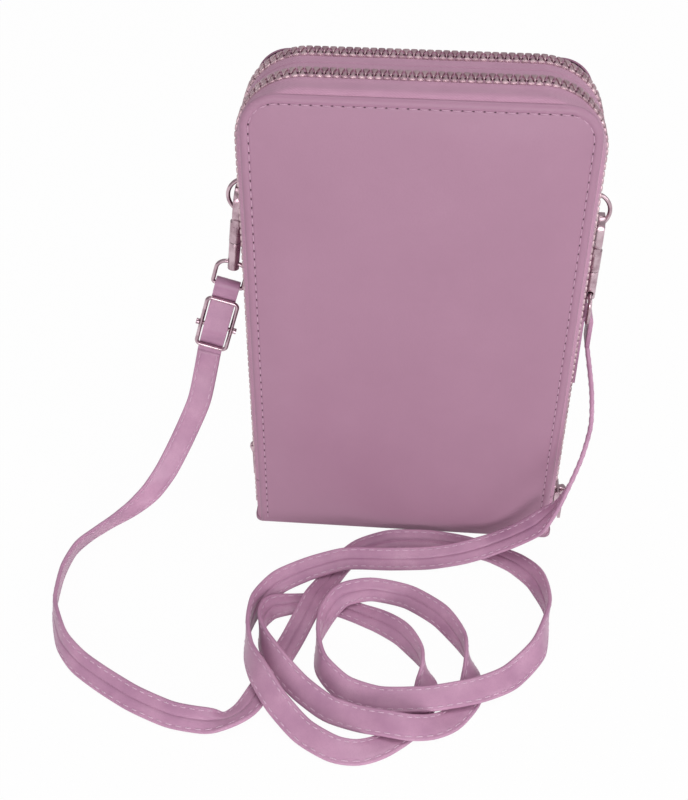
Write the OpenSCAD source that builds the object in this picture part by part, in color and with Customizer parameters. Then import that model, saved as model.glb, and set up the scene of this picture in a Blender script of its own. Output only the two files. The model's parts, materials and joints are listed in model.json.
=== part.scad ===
// Crossbody phone pouch with two zip-around compartments, D-rings, snap hooks and a flat shoulder strap.
// Frame: millimetres, +Z up, the front cover faces -Y.
// Origin: under the middle of the pouch, on the surface that it stands on.

/* [Covers] */
// Width of each cover
cover_w = 112.6; // [80:0.2:160]
// Height of the front cover's top edge
cover_top = 184.5; // [140:0.5:230]
// How much lower the rear cover's top edge lies
rear_drop = 2.5; // [0:0.5:8]
// Radius of a cover's upper corners
cover_r = 12; // [6:1:20]
// Depth of the pouch over both covers
pouch_d = 42; // [34:1:60]
// Thickness of the cover leather
leather_t = 1.2; // [0.8:0.1:2]
// Thickness of the stiffening board in a cover
board_t = 1.4; // [0.8:0.1:2.5]
// Thickness of the lining cloth
lining_t = 0.6; // [0.4:0.1:1]
// Height at which the covers' leather starts, above the surface
cover_lift = 0.6; // [0.3:0.1:2]

/* [Zip chains] */
// Distance between the middles of the two chains
chain_gap = 16; // [14:0.5:24]
// Width of a closed chain over both rows of teeth
chain_w = 6.1; // [5:0.1:8]
// Gap between the facing rows of a chain
row_gap = 0.8; // [0.6:0.1:1.2]
// Height of a tooth, through the tape
tooth_h = 2.4; // [1.8:0.1:3]
// Distance from one tooth to the next in a row
tooth_pitch = 2.6; // [2:0.1:4]
// Width of a tooth at the tape
tooth_root_w = 1.7; // [1:0.1:2.2]
// Width of a tooth at its nose
tooth_nose_w = 0.9; // [0.5:0.1:1.4]
// How far the chains stand out past a cover's side edge
chain_out = 3.2; // [2:0.1:8]
// How far the chains stand above the front cover's top edge
chain_up = 2.5; // [0:0.5:4]
// Radius of the chains' upper corners
chain_r = 23; // [14:1:32]
// Thickness of the zip tape
tape_t = 0.8; // [0.5:0.1:1.2]
// Height at which the opening part of a zip starts
zip_start = 22; // [19:0.5:40]
// Height of the lowest teeth
teeth_start = 5; // [4:0.5:10]

/* [Sliders] */
// Length of a slider along the chain
slider_l = 12; // [9:0.5:16]
// Height of a parked slider's lower end
slider_z = 5.5; // [4:0.5:9]
// Thickness of a slider's plates
slider_plate = 1.2; // [0.8:0.1:1.8]
// Gap between a slider and the chain in it
slider_play = 0.25; // [0.15:0.05:0.4]
// Length of a pull tab from its pin to its tip
pull_l = 15; // [14:1:35]
// Width of a pull tab
pull_w = 4; // [3:0.5:8]
// Thickness of a pull tab
pull_t = 1; // [0.6:0.1:1.6]
// Radius of the pin that a pull tab turns on
pull_pin_r = 0.65; // [0.4:0.05:0.8]

/* [Inside] */
// Thickness of the divider's board
divider_t = 2; // [1:0.1:4]
// Thickness of the base strip that the pouch stands on
base_t = 1.8; // [1:0.1:3]
// Number of card pockets on the front of the divider
card_pockets = 4; // [1:1:4]
// Width of the card pockets
card_pocket_w = 92; // [88:1:92]
// Height of the frontmost card pocket
card_pocket_h = 62; // [50:1:90]
// How much higher each card pocket behind it reaches
card_pocket_step = 16; // [8:1:20]
// Gap in a card pocket
card_gap = 0.8; // [0.6:0.1:1]
// Width of the phone pocket behind the divider
phone_pocket_w = 86; // [76:1:88]
// Height of the phone pocket
phone_pocket_h = 128; // [90:1:150]
// Gap in the phone pocket
phone_gap = 10; // [8:0.5:12]
// Height of the folded side gussets
gusset_h = 76; // [50:1:90]

/* [D-rings] */
// Height of the middle of the D-rings
ring_z = 137; // [100:1:150]
// Radius of a D-ring's bow, to the middle of its wire
ring_r = 6.8; // [6:0.1:10]
// Diameter of the wire of the rings, loops and buckle
wire_d = 1.5; // [1.2:0.1:2]
// How far a D-ring's bar lies inside the outermost face of the chains
ring_sink = 1.5; // [0.5:0.1:2]

/* [Snap hooks] */
// Thickness of a snap hook, seen edge-on
hook_t = 2.4; // [2:0.1:4]
// Half width of a snap hook's jaw
hook_r = 4.6; // [4.4:0.1:5]
// Width of the opening in a snap hook's jaw
jaw_w = 6; // [5:0.1:7]
// Length of the opening in a snap hook's jaw
jaw_l = 10.2; // [9:0.1:12]
// Distance from the top of the jaw's opening to the swivel's cross hole
hook_reach = 29.85; // [28:0.05:36]
// Radius of a snap hook's barrel
barrel_r = 2.2; // [2:0.1:3]
// Outward tilt of the left snap hook
left_hook_tilt = 6.6; // [0:0.1:12]

/* [Strap] */
// Width of the shoulder strap
strap_w = 9; // [8:0.5:9]
// Thickness of the shoulder strap
strap_t = 1.5; // [1:0.1:1.6]
// Width inside the wire loop that the strap hangs on
loop_in_w = 9.6; // [9.5:0.1:12]
// Height of the wire loop, to the middle of its wire
loop_h = 10.2; // [8:0.1:14]
// Tilt of the left loop and of the strap end on it
left_loop_tilt = 16; // [10:1:16]
// Width inside the adjuster buckle
buckle_in_w = 9.9; // [9.4:0.1:14]
// Height of the adjuster buckle, to the middle of its wire
buckle_h = 22; // [18:0.5:30]
// Length of the sewn tail at the right end of the strap
tail_l = 28; // [15:1:30]

/* [Hidden] */
$fn = 32;
cut = 1;                                  // overrun of every cut
free = 0.3;                               // room between pieces that move past each other
snug = 0.1;                               // room round a wire in leather
half_d = pouch_d / 2;

// Places of the chains
chain_y = chain_gap / 2;
chain_hw = cover_w / 2 + chain_out;       // outermost face of the teeth
chain_top = cover_top + chain_up;
row_l = (chain_w - row_gap) / 2;          // length of a tooth across the chain
row_in = chain_y - chain_w / 2;           // tape edge of the inner row
row_out = chain_y + chain_w / 2;          // tape edge of the cover's row
tape_in = (tooth_h - tape_t) / 2;         // depth of the tape's outer face under the teeth's outer face
tape_hw = chain_hw - tape_in;
tape_top = chain_top - tape_in;
tape_r = chain_r - tape_in;
arc_steps = 8;                            // straight steps in each quarter of a tape's corner

// Layers of a cover, measured from the pouch's middle
leather_y = half_d - leather_t;
board_y = leather_y - board_t;
lining_y = board_y - lining_t;
tuck = 1;                                 // how far the tape lies inside the cover's edge
layer_in = 2.2;                           // how far board and lining lie inside the cover's edge
layer_lift = 2.4;                         // how far board and lining start above the leather
fold_r = leather_t / 2;                   // roll of leather along the cover's lower edge
shoulder_share = 0.68;                    // place of the tape's shoulder between the chain and the cover
shoulder_out_share = 0.78;                // how far out the shoulder stands
shoulder_up_share = 0.9;                  // how far up the front shoulder stands
rear_shoulder_up_share = 0.5;             // how far up the rear shoulder stands
shoulder_round_share = 0.9;               // how near the shoulder's corners come to the chain's radius

// Root pieces
base_inset = 1.3;                         // base strip inside the covers' faces
base_r = 3;
end_gap = 0.35;                           // gap under the opening part of the zip
stop_h = 1;                               // height of a bottom stop
stop_up = 1.4;                            // height of a bottom stop above the base
stop_t = 2.8;                             // thickness of a bottom stop, through the tape

// Divider
divider_edge = 2.9;                       // board inside the tape's inner face
lining_edge = 0.12;                       // linings inside it
window_y = 2;                             // half width of the slot for a D-ring's tab
window_free = 0.6;                        // free room above the ring in that slot
window_z = ring_r + wire_d / 2 + window_free;   // half height of that slot
window_x = 4;                             // depth of that slot in the linings

// Pockets
pocket_z = 14;                            // height at which the pockets start
hem = 3;                                  // sewn hem round a pocket
phone_hem = 4;

// Gussets
gusset_t = 0.5;
gusset_folds = 4;
gusset_in = 1.8;
gusset_x = cover_w / 2 - gusset_in;       // outer edge of the gusset's folds
gusset_gap = 1;                           // room beside the card pockets
gusset_w = gusset_x - max(card_pocket_w, phone_pocket_w) / 2 - gusset_gap;   // width of a fold
gusset_z = 4;

// Sliders
flange = 0.95;                            // thickness of a slider's side flanges
flange_play = 0.3;
slider_w = chain_w + 2 * (flange_play + flange);
neck_t = 0.35;                            // thickness of the neck between the rows
neck_l = 3;
crown_w = 2;                              // width of the bridge that holds the pull
crown_out = 3.1;                          // how far the bridge stands out
crown_l = 9;
crown_wall = 0.9;
pin_play = 0.15;
fork_l = 11;                              // length of the slot that clears the bridge
pull_tip_r = 1;                           // eyelet at the tip

// Rings and hooks
wire_r = wire_d / 2;
ring_x = chain_hw - ring_sink;
tab_w = 8;                                // length of the tab along the bar
tab_wall = 0.5;
tab_play = 0.1;
tab_tail = 1.4;
left_seat = 3.9;                          // how far out from its bar the left ring carries its hook
right_seat = 4.2;
left_drop = 7.9;                          // where the wire lies in the left jaw, below its top
right_drop = 2.7;
neck_z = 12.6;                            // lower end of the hook's flat part
neck_w = 4.4;
barrel_z = 20.6;                          // lower end of the barrel
stem_r = 0.8;
stem_play = 0.15;
stem_head_r = 1.3;
stem_head_h = 1.2;
stem_head_z = 16.6;                       // underside of the stem's head
swivel_r = 2.1;
swivel_gap = 0.3;
swivel_end = 2.2;                         // swivel below its cross hole
cross_r = 1.25;
pin_r = 0.5;
lever_z = 10.4;                           // height of the lever's pin below the jaw's top
lever_y = 2.9;                            // pin beside the hook's middle line
lever_t = 1.3;
gate_top = 0.9;                           // top of the gate below the jaw's top
gate_w = 1.3;
knob_r = 0.9;
knob_z = 6;
lever_slot = 1.6;

// Loops and buckle
loop_w = loop_in_w + wire_d;
loop_top_r = 3.8;
loop_low_r = 1;
buckle_w = buckle_in_w + wire_d;
buckle_r = 1.8;
bar_r = 0.8;
bar_knob_r = 1.1;
bar_knob_l = 1.2;
buckle_z = 18.4;                          // buckle's middle below the loop's lower wire
bar_drop = 1;                             // centre bar below the buckle's middle
end_z = 32.6;                             // where the free strap starts, below the loop's lower wire
right_end_z = 11;                         // where the free strap ends, below the right loop's lower wire
layer_gap = 0.25;                         // room between two layers of leather
bend_z = 0.9;                             // where the leather bends beside a wire
bend_steps = 6;                           // straight steps in each bend round a wire
bar_bend_z = 1;
frame_bend_z = 1.2;
bar_fit = 0.02;
end_play = 0.04;                          // seam between the free strap and its sewn ends

// Places of the hooks, loops and strap ends, as [x, y, z]
function ring_drop(d) = sqrt(ring_r * ring_r - d * d);
left_pin = [-(ring_x + left_seat), 0, ring_z - ring_drop(left_seat)];
right_pin = [ring_x + right_seat, 0, ring_z - ring_drop(right_seat)];
function down(a, l) = [-l * sin(a), 0, -l * cos(a)];
left_hole = left_pin + down(left_hook_tilt, hook_reach - left_drop);
right_hole = right_pin + down(0, hook_reach - right_drop);
left_hang = left_hole + down(left_loop_tilt, loop_h);
right_hang = right_hole + down(0, loop_h);
wrap_r = wire_r + snug + strap_t / 2;     // middle of the leather round a wire
left_start = left_hang + down(left_loop_tilt, end_z + end_play) + [0, wrap_r, 0];
right_end = right_hang + down(0, right_end_z + end_play) + [wrap_r, 0, 0];

// The free strap's route from the buckle to the right strap end: where its middle
// passes and, after that, which way its width lies. It stands on its edge or leans,
// and lies flat where it crosses under itself.
route = [
    [-78, 0.5, 60, -0.96, 0, 0.28],
    [-81, -3.5, 47, -0.95, 0, 0.3],
    [-88, -8, 31, -0.85, 0.1, 0.5],
    [-94.5, -13, 18.5, -0.72, 0.12, 0.66],
    [-100.5, -18, 10.8, -0.5, 0, 0.84],
    [-107, -23.5, 6.8, -0.15, -0.15, 0.97],
    [-114, -30, 5.2, 0.2, -0.22, 0.95],
    [-120, -37, 4.9, 0.3, -0.2, 0.93],
    [-125, -45, 4.9, 0.25, -0.12, 0.96],
    [-127, -57.5, 4.8, 0.15, -0.04, 0.99],
    [-125.5, -74.5, 4.8, 0.15, 0.02, 0.99],
    [-119, -89.5, 4.5, 0.42, 0.16, 0.87],
    [-111, -98, 3.9, 0.46, 0.5, 0.73],
    [-101, -104.5, 3.4, 0.42, 0.66, 0.62],
    [-88.5, -111.5, 3.2, 0.34, 0.76, 0.55],
    [-74.5, -117, 3.1, 0.15, 0.84, 0.52],
    [-63, -118.5, 3.2, -0.03, 0.85, 0.52],
    [-55, -117.5, 2.7, -0.5, 0.78, -0.37],
    [-49.5, -112, 1.9, -0.9, 0.38, -0.2],
    [-45.5, -102.5, 1.1, -0.93, 0.36, -0.03],
    [-41.5, -92, 1.1, -0.93, 0.36, 0],
    [-37, -80, 1.5, -0.93, 0.36, 0],
    [-33.5, -70, 3.1, -0.95, 0.33, 0],
    [-30.5, -60.5, 3.7, -0.95, 0.3, 0],
    [-27.5, -53, 1.9, -0.97, 0.2, 0],
    [-25.5, -48, 1.1, -0.97, 0.2, 0],
    [-22.5, -41.5, 1, -0.9, 0.4, 0.02],
    [-15.5, -33.5, 1.7, -0.62, 0.75, 0.2],
    [-4, -29, 2.7, -0.27, 0.86, 0.42],
    [11, -28, 2.8, 0, 0.9, 0.44],
    [25, -28.3, 1.6, 0.05, 0.98, 0.18],
    [35.5, -31, 1, 0.42, 0.9, 0],
    [44.5, -36.5, 2.1, 0.62, 0.72, 0.3],
    [51.5, -45.5, 3.9, 0.6, 0.35, 0.72],
    [55.5, -60, 4.7, 0.1, 0, 0.99],
    [51.5, -79, 4.4, -0.5, 0.25, 0.82],
    [41, -92.5, 3.9, -0.55, 0.63, 0.56],
    [29.5, -100, 5.3, -0.25, 0.87, 0.42],
    [13, -105, 5.4, 0, 0.9, 0.42],
    [-4, -106, 4.4, 0.2, 0.84, 0.5],
    [-17, -101.5, 3.6, 0.41, 0.7, 0.57],
    [-25.5, -92.5, 4.4, 0.36, 0.21, 0.91],
    [-27.5, -81, 4.7, 0, 0, 1],
    [-25.5, -70.5, 5.3, -0.5, 0.1, 0.85],
    [-20.5, -61.5, 6.1, -0.5, 0.57, 0.64],
    [-10, -56.5, 4.7, -0.2, 0.85, 0.5],
    [4, -58, 3.4, 0.25, 0.8, 0.53],
    [16, -66.5, 4, 0.52, 0.52, 0.67],
    [24, -78.5, 4.7, 0.24, 0.1, 0.97],
    [27.5, -90, 3.7, -0.65, 0, 0.76],
    [27, -100.5, 1.2, -0.98, 0.2, 0.03],
    [20.5, -110.3, 1.2, -0.75, 0.66, 0.05],
    [13.5, -115, 3.2, -0.35, 0.88, 0.3],
    [6, -117, 5.2, 0, 0.9, 0.44],
    [-2, -116, 5.3, 0.05, 0.9, 0.44],
    [-10, -114, 3.7, 0.15, 0.86, 0.48],
    [-21, -110.5, 3.2, 0.37, 0.79, 0.47],
    [-32, -103, 4.4, 0.52, 0.69, 0.5],
    [-41, -94, 6.3, 0.61, 0.46, 0.64],
    [-47, -84, 5.4, 0.32, 0.12, 0.94],
    [-49, -75, 4.7, -0.17, 0, 0.98],
    [-46.5, -67.5, 3.7, -0.5, 0.5, 0.68],
    [-39, -63.2, 1.4, -0.2, 0.97, 0.06],
    [-30, -61.8, 1, -0.05, 1, 0],
    [-21, -63, 1, 0.1, 0.99, 0],
    [-13, -66, 1.2, 0.25, 0.96, 0.05],
    [-5, -70.5, 2.8, 0.42, 0.78, 0.4],
    [2.5, -76.5, 4.2, 0.48, 0.5, 0.7],
    [9, -85.5, 4.7, 0.2, 0.07, 0.98],
    [11.5, -92.5, 4.4, -0.4, 0, 0.9],
    [12, -98.5, 2.2, -0.95, 0, 0.25],
    [10.8, -106, 1, -1, 0, 0.02],
    [6, -115, 1, -0.8, 0.6, 0],
    [-2.5, -122.5, 1.1, -0.45, 0.89, 0.03],
    [-10, -126, 1.9, -0.15, 0.95, 0.25],
    [-18, -126, 2.9, 0.1, 0.9, 0.42],
    [-29, -120, 3.1, 0.44, 0.75, 0.47],
    [-39, -110.5, 5.4, 0.58, 0.64, 0.5],
    [-46, -100.5, 6.9, 0.64, 0.42, 0.64],
    [-51.3, -90, 5, 0.33, 0.08, 0.94],
    [-53.3, -78, 4.7, 0, 0, 1],
    [-51.5, -66, 4.6, -0.4, 0.13, 0.9],
    [-44.5, -55.5, 4.8, -0.52, 0.59, 0.62],
    [-33, -48, 5.3, -0.4, 0.78, 0.47],
    [-20, -43, 6.1, -0.25, 0.87, 0.42],
    [-4, -40, 3.9, -0.1, 0.87, 0.5],
    [11, -38, 3.6, 0, 0.87, 0.5],
    [23, -35.5, 4.6, 0, 0.88, 0.47],
    [34, -31.8, 6.1, 0, 0.88, 0.47],
    [43.4, -31.8, 12.3, -0.1, 0.85, 0.5],
    [50.6, -33.5, 20.5, -0.32, 0.75, 0.53],
    [56.8, -33.8, 30, 0.08, 0.97, -0.25],
    [61, -30.2, 37.8, 0.18, 0.8, -0.58],
    [65.2, -23.5, 47.2, 0.16, 0.8, -0.58],
    [67.6, -17, 57.2, 0.14, 0.82, -0.55],
    [67.1, -10, 66.8, 0.12, 0.8, -0.6],
    [65.5, -2.8, 75.1, 0.07, 0.9, -0.4],
];

leather = [0.69, 0.52, 0.62];
strap_leather = [0.73, 0.55, 0.66];
tape_cloth = [0.72, 0.5, 0.63];
lining_cloth = [0.62, 0.47, 0.55];
board_grey = [0.6, 0.57, 0.53];
metal = [0.62, 0.56, 0.57];

divider_board();
divider_front_lining();
divider_rear_lining();
base_strip();
front_inner_tape();
rear_inner_tape();
front_inner_teeth();
rear_inner_teeth();
front_zip_ends();
rear_zip_ends();
front_end_teeth();
rear_end_teeth();
bottom_stops();
card_pocket_1();
card_pocket_2();
card_pocket_3();
card_pocket_4();
phone_pocket();
front_left_gusset();
front_right_gusset();
rear_left_gusset();
rear_right_gusset();
left_tab();
right_tab();
front_panel();
front_board();
front_lining();
front_outer_tape();
front_outer_teeth();
rear_panel();
rear_board();
rear_lining();
rear_outer_tape();
rear_outer_teeth();
front_slider();
front_pull();
rear_slider();
rear_pull();
left_ring();
left_hook();
left_lever();
left_lever_pin();
left_swivel();
left_loop();
right_ring();
right_hook();
right_lever();
right_lever_pin();
right_swivel();
right_loop();
left_strap_end();
buckle_frame();
buckle_bar();
right_strap_end();
strap();

// Outlines in the X-Z plane: up the left side, round both upper corners and down the right side
function outline(hw, top, r, low) = concat(
    [[-hw, low]],
    [for (i = [0:arc_steps]) [r - hw - r * cos(90 * i / arc_steps), top - r + r * sin(90 * i / arc_steps)]],
    [for (i = [0:arc_steps]) [hw - r + r * sin(90 * i / arc_steps), top - r + r * cos(90 * i / arc_steps)]],
    [[hw, low]]);

// A flat board of that outline, from depth y0 to depth y1
module slab(hw, top, r, low, y0, y1) {
    translate([0, y1, 0]) rotate([90, 0, 0]) linear_extrude(y1 - y0) union() {
        translate([-hw, low]) square([2 * hw, top - r - low]);
        translate([r - hw, low]) square([2 * (hw - r), top - low]);
        for (s = [-1, 1]) translate([s * (hw - r), top - r]) circle(r, $fn = 4 * arc_steps);
    }
}

// A thin band along that outline through stations [depth, half width, top, radius]
module band(stations, low, t) {
    m = 2 * arc_steps + 4;
    n = len(stations);
    skins = [for (s = stations)
        concat(outline(s[1], s[2], s[3], low), outline(s[1] - t, s[2] - t, s[3] - t, low))];
    points = [for (k = [0:n - 1]) for (p = skins[k]) [p[0], stations[k][0], p[1]]];
    function at(k, i) = k * 2 * m + i;
    sides = [for (k = [0:n - 2]) for (i = [0:m - 2]) for (f = [
        [at(k, i), at(k, i + 1), at(k + 1, i + 1)], [at(k, i), at(k + 1, i + 1), at(k + 1, i)],
        [at(k, m + i), at(k + 1, m + i + 1), at(k, m + i + 1)],
        [at(k, m + i), at(k + 1, m + i), at(k + 1, m + i + 1)]]) f];
    edges = [for (i = [0:m - 2]) for (f = [
        [at(0, i), at(0, m + i), at(0, m + i + 1), at(0, i + 1)],
        [at(n - 1, i), at(n - 1, i + 1), at(n - 1, m + i + 1), at(n - 1, m + i)]]) f];
    feet = [for (k = [0:n - 2]) for (f = [
        [at(k, 0), at(k + 1, 0), at(k + 1, m), at(k, m)],
        [at(k, m - 1), at(k, 2 * m - 1), at(k + 1, 2 * m - 1), at(k + 1, m - 1)]]) f];
    polyhedron(points, concat(sides, edges, feet));
}

// Mirrors a front piece to the rear
module to_rear() { mirror([0, 1, 0]) children(); }

// Stations of a cover's tape, from the cover's edge to its row of teeth
function tape_stations(top, up_share) =
    let (y0 = -leather_y, y2 = -row_out, hw0 = cover_w / 2 - tuck, top0 = top - tuck, r0 = cover_r - tuck)
    [[y0, hw0, top0, r0],
     [y0 + (y2 - y0) * (1 - shoulder_share), hw0 + (tape_hw - hw0) * shoulder_out_share,
      top0 + (tape_top - top0) * up_share, r0 + (tape_r - r0) * shoulder_round_share],
     [y2, tape_hw, tape_top, tape_r]];

// The chain's path: length along it and the place there, as [x, z, outward angle]
side_l = chain_top - chain_r - teeth_start;
arc_l = chain_r * PI / 2;
top_l = 2 * (chain_hw - chain_r);
path_l = 2 * side_l + 2 * arc_l + top_l;
function on_path(s) =
    s < side_l ? [-chain_hw, teeth_start + s, 180] :
    s < side_l + arc_l ? let (a = 180 - 90 * (s - side_l) / arc_l)
        [chain_r - chain_hw + chain_r * cos(a), chain_top - chain_r + chain_r * sin(a), a] :
    s < side_l + arc_l + top_l ? [chain_r - chain_hw + s - side_l - arc_l, chain_top, 90] :
    s < side_l + 2 * arc_l + top_l ? let (a = 90 - 90 * (s - side_l - arc_l - top_l) / arc_l)
        [chain_hw - chain_r + chain_r * cos(a), chain_top - chain_r + chain_r * sin(a), a] :
    [chain_hw, teeth_start + path_l - s, 0];

// One tooth: its root on the tape at y = 0, its nose towards +Y
module tooth() {
    translate([-tooth_h, 0, 0]) rotate([90, 0, 90]) linear_extrude(tooth_h)
        polygon([[0, -tooth_root_w / 2], [row_l, -tooth_nose_w / 2],
                 [row_l, tooth_nose_w / 2], [0, tooth_root_w / 2]]);
}

// A row of teeth between two heights on both sides. The cover's row points inwards, the inner row outwards.
module teeth(cover_row, low, high) {
    count = floor(path_l / tooth_pitch);
    shift = cover_row ? tooth_pitch / 2 : 0;
    for (i = [0:count - 1]) {
        p = on_path(i * tooth_pitch + shift + tooth_root_w / 2);
        if (p[1] > low && p[1] < high)
            translate([p[0], cover_row ? -row_out : -row_in, p[1]]) rotate([0, -p[2], 0])
                mirror([0, cover_row ? 0 : 1, 0]) tooth();
    }
}

// Pieces of the divider and base
module divider_layer(y0, y1, inset, notch) {
    difference() {
        slab(tape_hw - tape_t - inset, tape_top - tape_t - inset, tape_r - tape_t - inset, base_t, y0, y1);
        if (notch) for (s = [-1, 1])
            translate([s * (tape_hw - window_x / 2 + cut), (y0 + y1) / 2, ring_z])
                cube([window_x + 2 * cut, y1 - y0 + 2 * cut, 2 * window_z], center = true);
    }
}
module divider_board() {
    color(board_grey) divider_layer(-divider_t / 2, divider_t / 2, divider_edge, false);
}
module divider_front_lining() {
    color(lining_cloth) divider_layer(-divider_t / 2 - lining_t, -divider_t / 2, lining_edge, true);
}
module divider_rear_lining() {
    color(lining_cloth) divider_layer(divider_t / 2, divider_t / 2 + lining_t, lining_edge, true);
}

module base_strip() {
    color(leather) linear_extrude(base_t) offset(base_r)
        square([2 * (tape_hw - base_r), 2 * (half_d - base_inset - base_r)], center = true);
}

module inner_tape() {
    difference() {
        rotate([90, 0, 0]) linear_extrude(row_in) difference() {
            polygon(outline(tape_hw, tape_top, tape_r, base_t));
            polygon(outline(tape_hw - tape_t, tape_top - tape_t, tape_r - tape_t, base_t - cut));
        }
        for (s = [-1, 1]) translate([s * tape_hw, 0, ring_z])
            cube([window_x, 2 * window_y, 2 * window_z], center = true);
    }
}
module front_inner_tape() { color(tape_cloth) inner_tape(); }
module rear_inner_tape() { color(tape_cloth) to_rear() inner_tape(); }
module front_inner_teeth() { color(metal) teeth(false, 0, chain_top + cut); }
module rear_inner_teeth() { color(metal) to_rear() front_inner_teeth(); }

// The sewn-shut lower ends of a zip, outside its chain, on both sides
module zip_ends(top, up_share) {
    s = tape_stations(top, up_share);
    wall = concat([for (k = [0:2]) [s[k][1], s[k][0] + (k == 0 ? base_inset - leather_t + free : 0)]],
                  [for (k = [2:-1:0])
                      [s[k][1] - tape_t, s[k][0] + (k == 0 ? base_inset - leather_t + free : 0)]]);
    for (side = [0, 1]) mirror([side, 0, 0]) translate([0, 0, base_t])
        linear_extrude(zip_start - end_gap - base_t) polygon(wall);
}
module front_zip_ends() { color(tape_cloth) zip_ends(cover_top, shoulder_up_share); }
module rear_zip_ends() {
    color(tape_cloth) to_rear() zip_ends(cover_top - rear_drop, rear_shoulder_up_share);
}
module front_end_teeth() { color(metal) teeth(true, 0, zip_start - end_gap - tooth_root_w / 2); }
module rear_end_teeth() { color(metal) to_rear() front_end_teeth(); }

module bottom_stops() {
    color(metal) for (side = [0, 1]) for (rear = [0, 1])
        mirror([side, 0, 0]) mirror([0, rear, 0])
            translate([tape_hw - tape_t / 2 - stop_t / 2, -row_out + tape_t, base_t])
                difference() {
                    cube([stop_t, chain_w - 2 * tape_t, stop_up + stop_h]);
                    translate([-cut, row_l - tape_t, -cut]) cube([stop_t + 2 * cut, row_gap, stop_up + cut]);
                }
}

// A pocket sewn on the divider: a sheet with a hem at both sides and below, open at the top
module pocket(w, h, y0, gap, t, edge) {
    difference() {
        translate([-w / 2, y0 - gap - t, pocket_z]) cube([w, gap + t, h]);
        translate([-w / 2 + edge, y0 - gap, pocket_z + edge]) cube([w - 2 * edge, gap + cut, h]);
    }
}
module card_pocket(k) {
    if (k <= card_pockets) color(lining_cloth)
        pocket(card_pocket_w, card_pocket_h + card_pocket_step * (card_pockets - k),
               -divider_t / 2 - lining_t - (k - 1) * (card_gap + lining_t), card_gap, lining_t, hem);
}
module card_pocket_1() { card_pocket(1); }
module card_pocket_2() { card_pocket(2); }
module card_pocket_3() { card_pocket(3); }
module card_pocket_4() { card_pocket(4); }
module phone_pocket() {
    color(lining_cloth) to_rear()
        pocket(phone_pocket_w, phone_pocket_h, -divider_t / 2 - lining_t, phone_gap, lining_t, phone_hem);
}

// A strip of even thickness along a polyline, as a polygon
function unit(v) = v / norm(v);
function side_of(p, i) =
    let (a = i == 0 ? unit(p[1] - p[0]) : unit(p[i] - p[i - 1]),
         b = i == len(p) - 1 ? a : unit(p[i + 1] - p[i]),
         n = unit([-(a[1] + b[1]), a[0] + b[0]]))
    n / (n * [-a[1], a[0]]);
function strip(p, t) = concat([for (i = [0:len(p) - 1]) p[i] + side_of(p, i) * t / 2],
                              [for (i = [len(p) - 1:-1:0]) p[i] - side_of(p, i) * t / 2]);

// A gusset folded flat beside the pockets, from the divider to the cover
module gusset() {
    inner_y = divider_t / 2 + lining_t + gusset_t;
    outer_y = lining_y - free - gusset_t;
    step = (outer_y - inner_y) / gusset_folds;
    color(lining_cloth) translate([0, 0, gusset_z]) linear_extrude(gusset_h)
        polygon(strip([for (i = [0:gusset_folds])
                           [gusset_x - (i % 2) * gusset_w, -inner_y - step * i]], gusset_t));
}
module front_right_gusset() { gusset(); }
module front_left_gusset() { mirror([1, 0, 0]) gusset(); }
module rear_right_gusset() { to_rear() gusset(); }
module rear_left_gusset() { mirror([1, 0, 0]) to_rear() gusset(); }

// Covers
module cover_panel(top) {
    slab(cover_w / 2, top, cover_r, cover_lift, -half_d, -leather_y);
    translate([-cover_w / 2, -half_d + fold_r, cover_lift])
        rotate([0, 90, 0]) cylinder(r = fold_r, h = cover_w);
}
module cover_layer(top, y0, y1) {
    slab(cover_w / 2 - layer_in, top - layer_in, cover_r - layer_in, cover_lift + layer_lift, y0, y1);
}
module outer_tape(top, up_share) { band(tape_stations(top, up_share), zip_start, tape_t); }
module front_panel() { color(leather) cover_panel(cover_top); }
module front_board() { color(board_grey) cover_layer(cover_top, -leather_y, -board_y); }
module front_lining() { color(lining_cloth) cover_layer(cover_top, -board_y, -lining_y); }
module front_outer_tape() { color(tape_cloth) outer_tape(cover_top, shoulder_up_share); }
module front_outer_teeth() { color(metal) teeth(true, zip_start + tooth_root_w / 2, chain_top + cut); }
module rear_panel() { color(leather) to_rear() cover_panel(cover_top - rear_drop); }
module rear_board() { color(board_grey) to_rear() cover_layer(cover_top - rear_drop, -leather_y, -board_y); }
module rear_lining() {
    color(lining_cloth) to_rear() cover_layer(cover_top - rear_drop, -board_y, -lining_y);
}
module rear_outer_tape() {
    color(tape_cloth) to_rear() outer_tape(cover_top - rear_drop, rear_shoulder_up_share);
}
module rear_outer_teeth() { color(metal) to_rear() front_outer_teeth(); }

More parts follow.
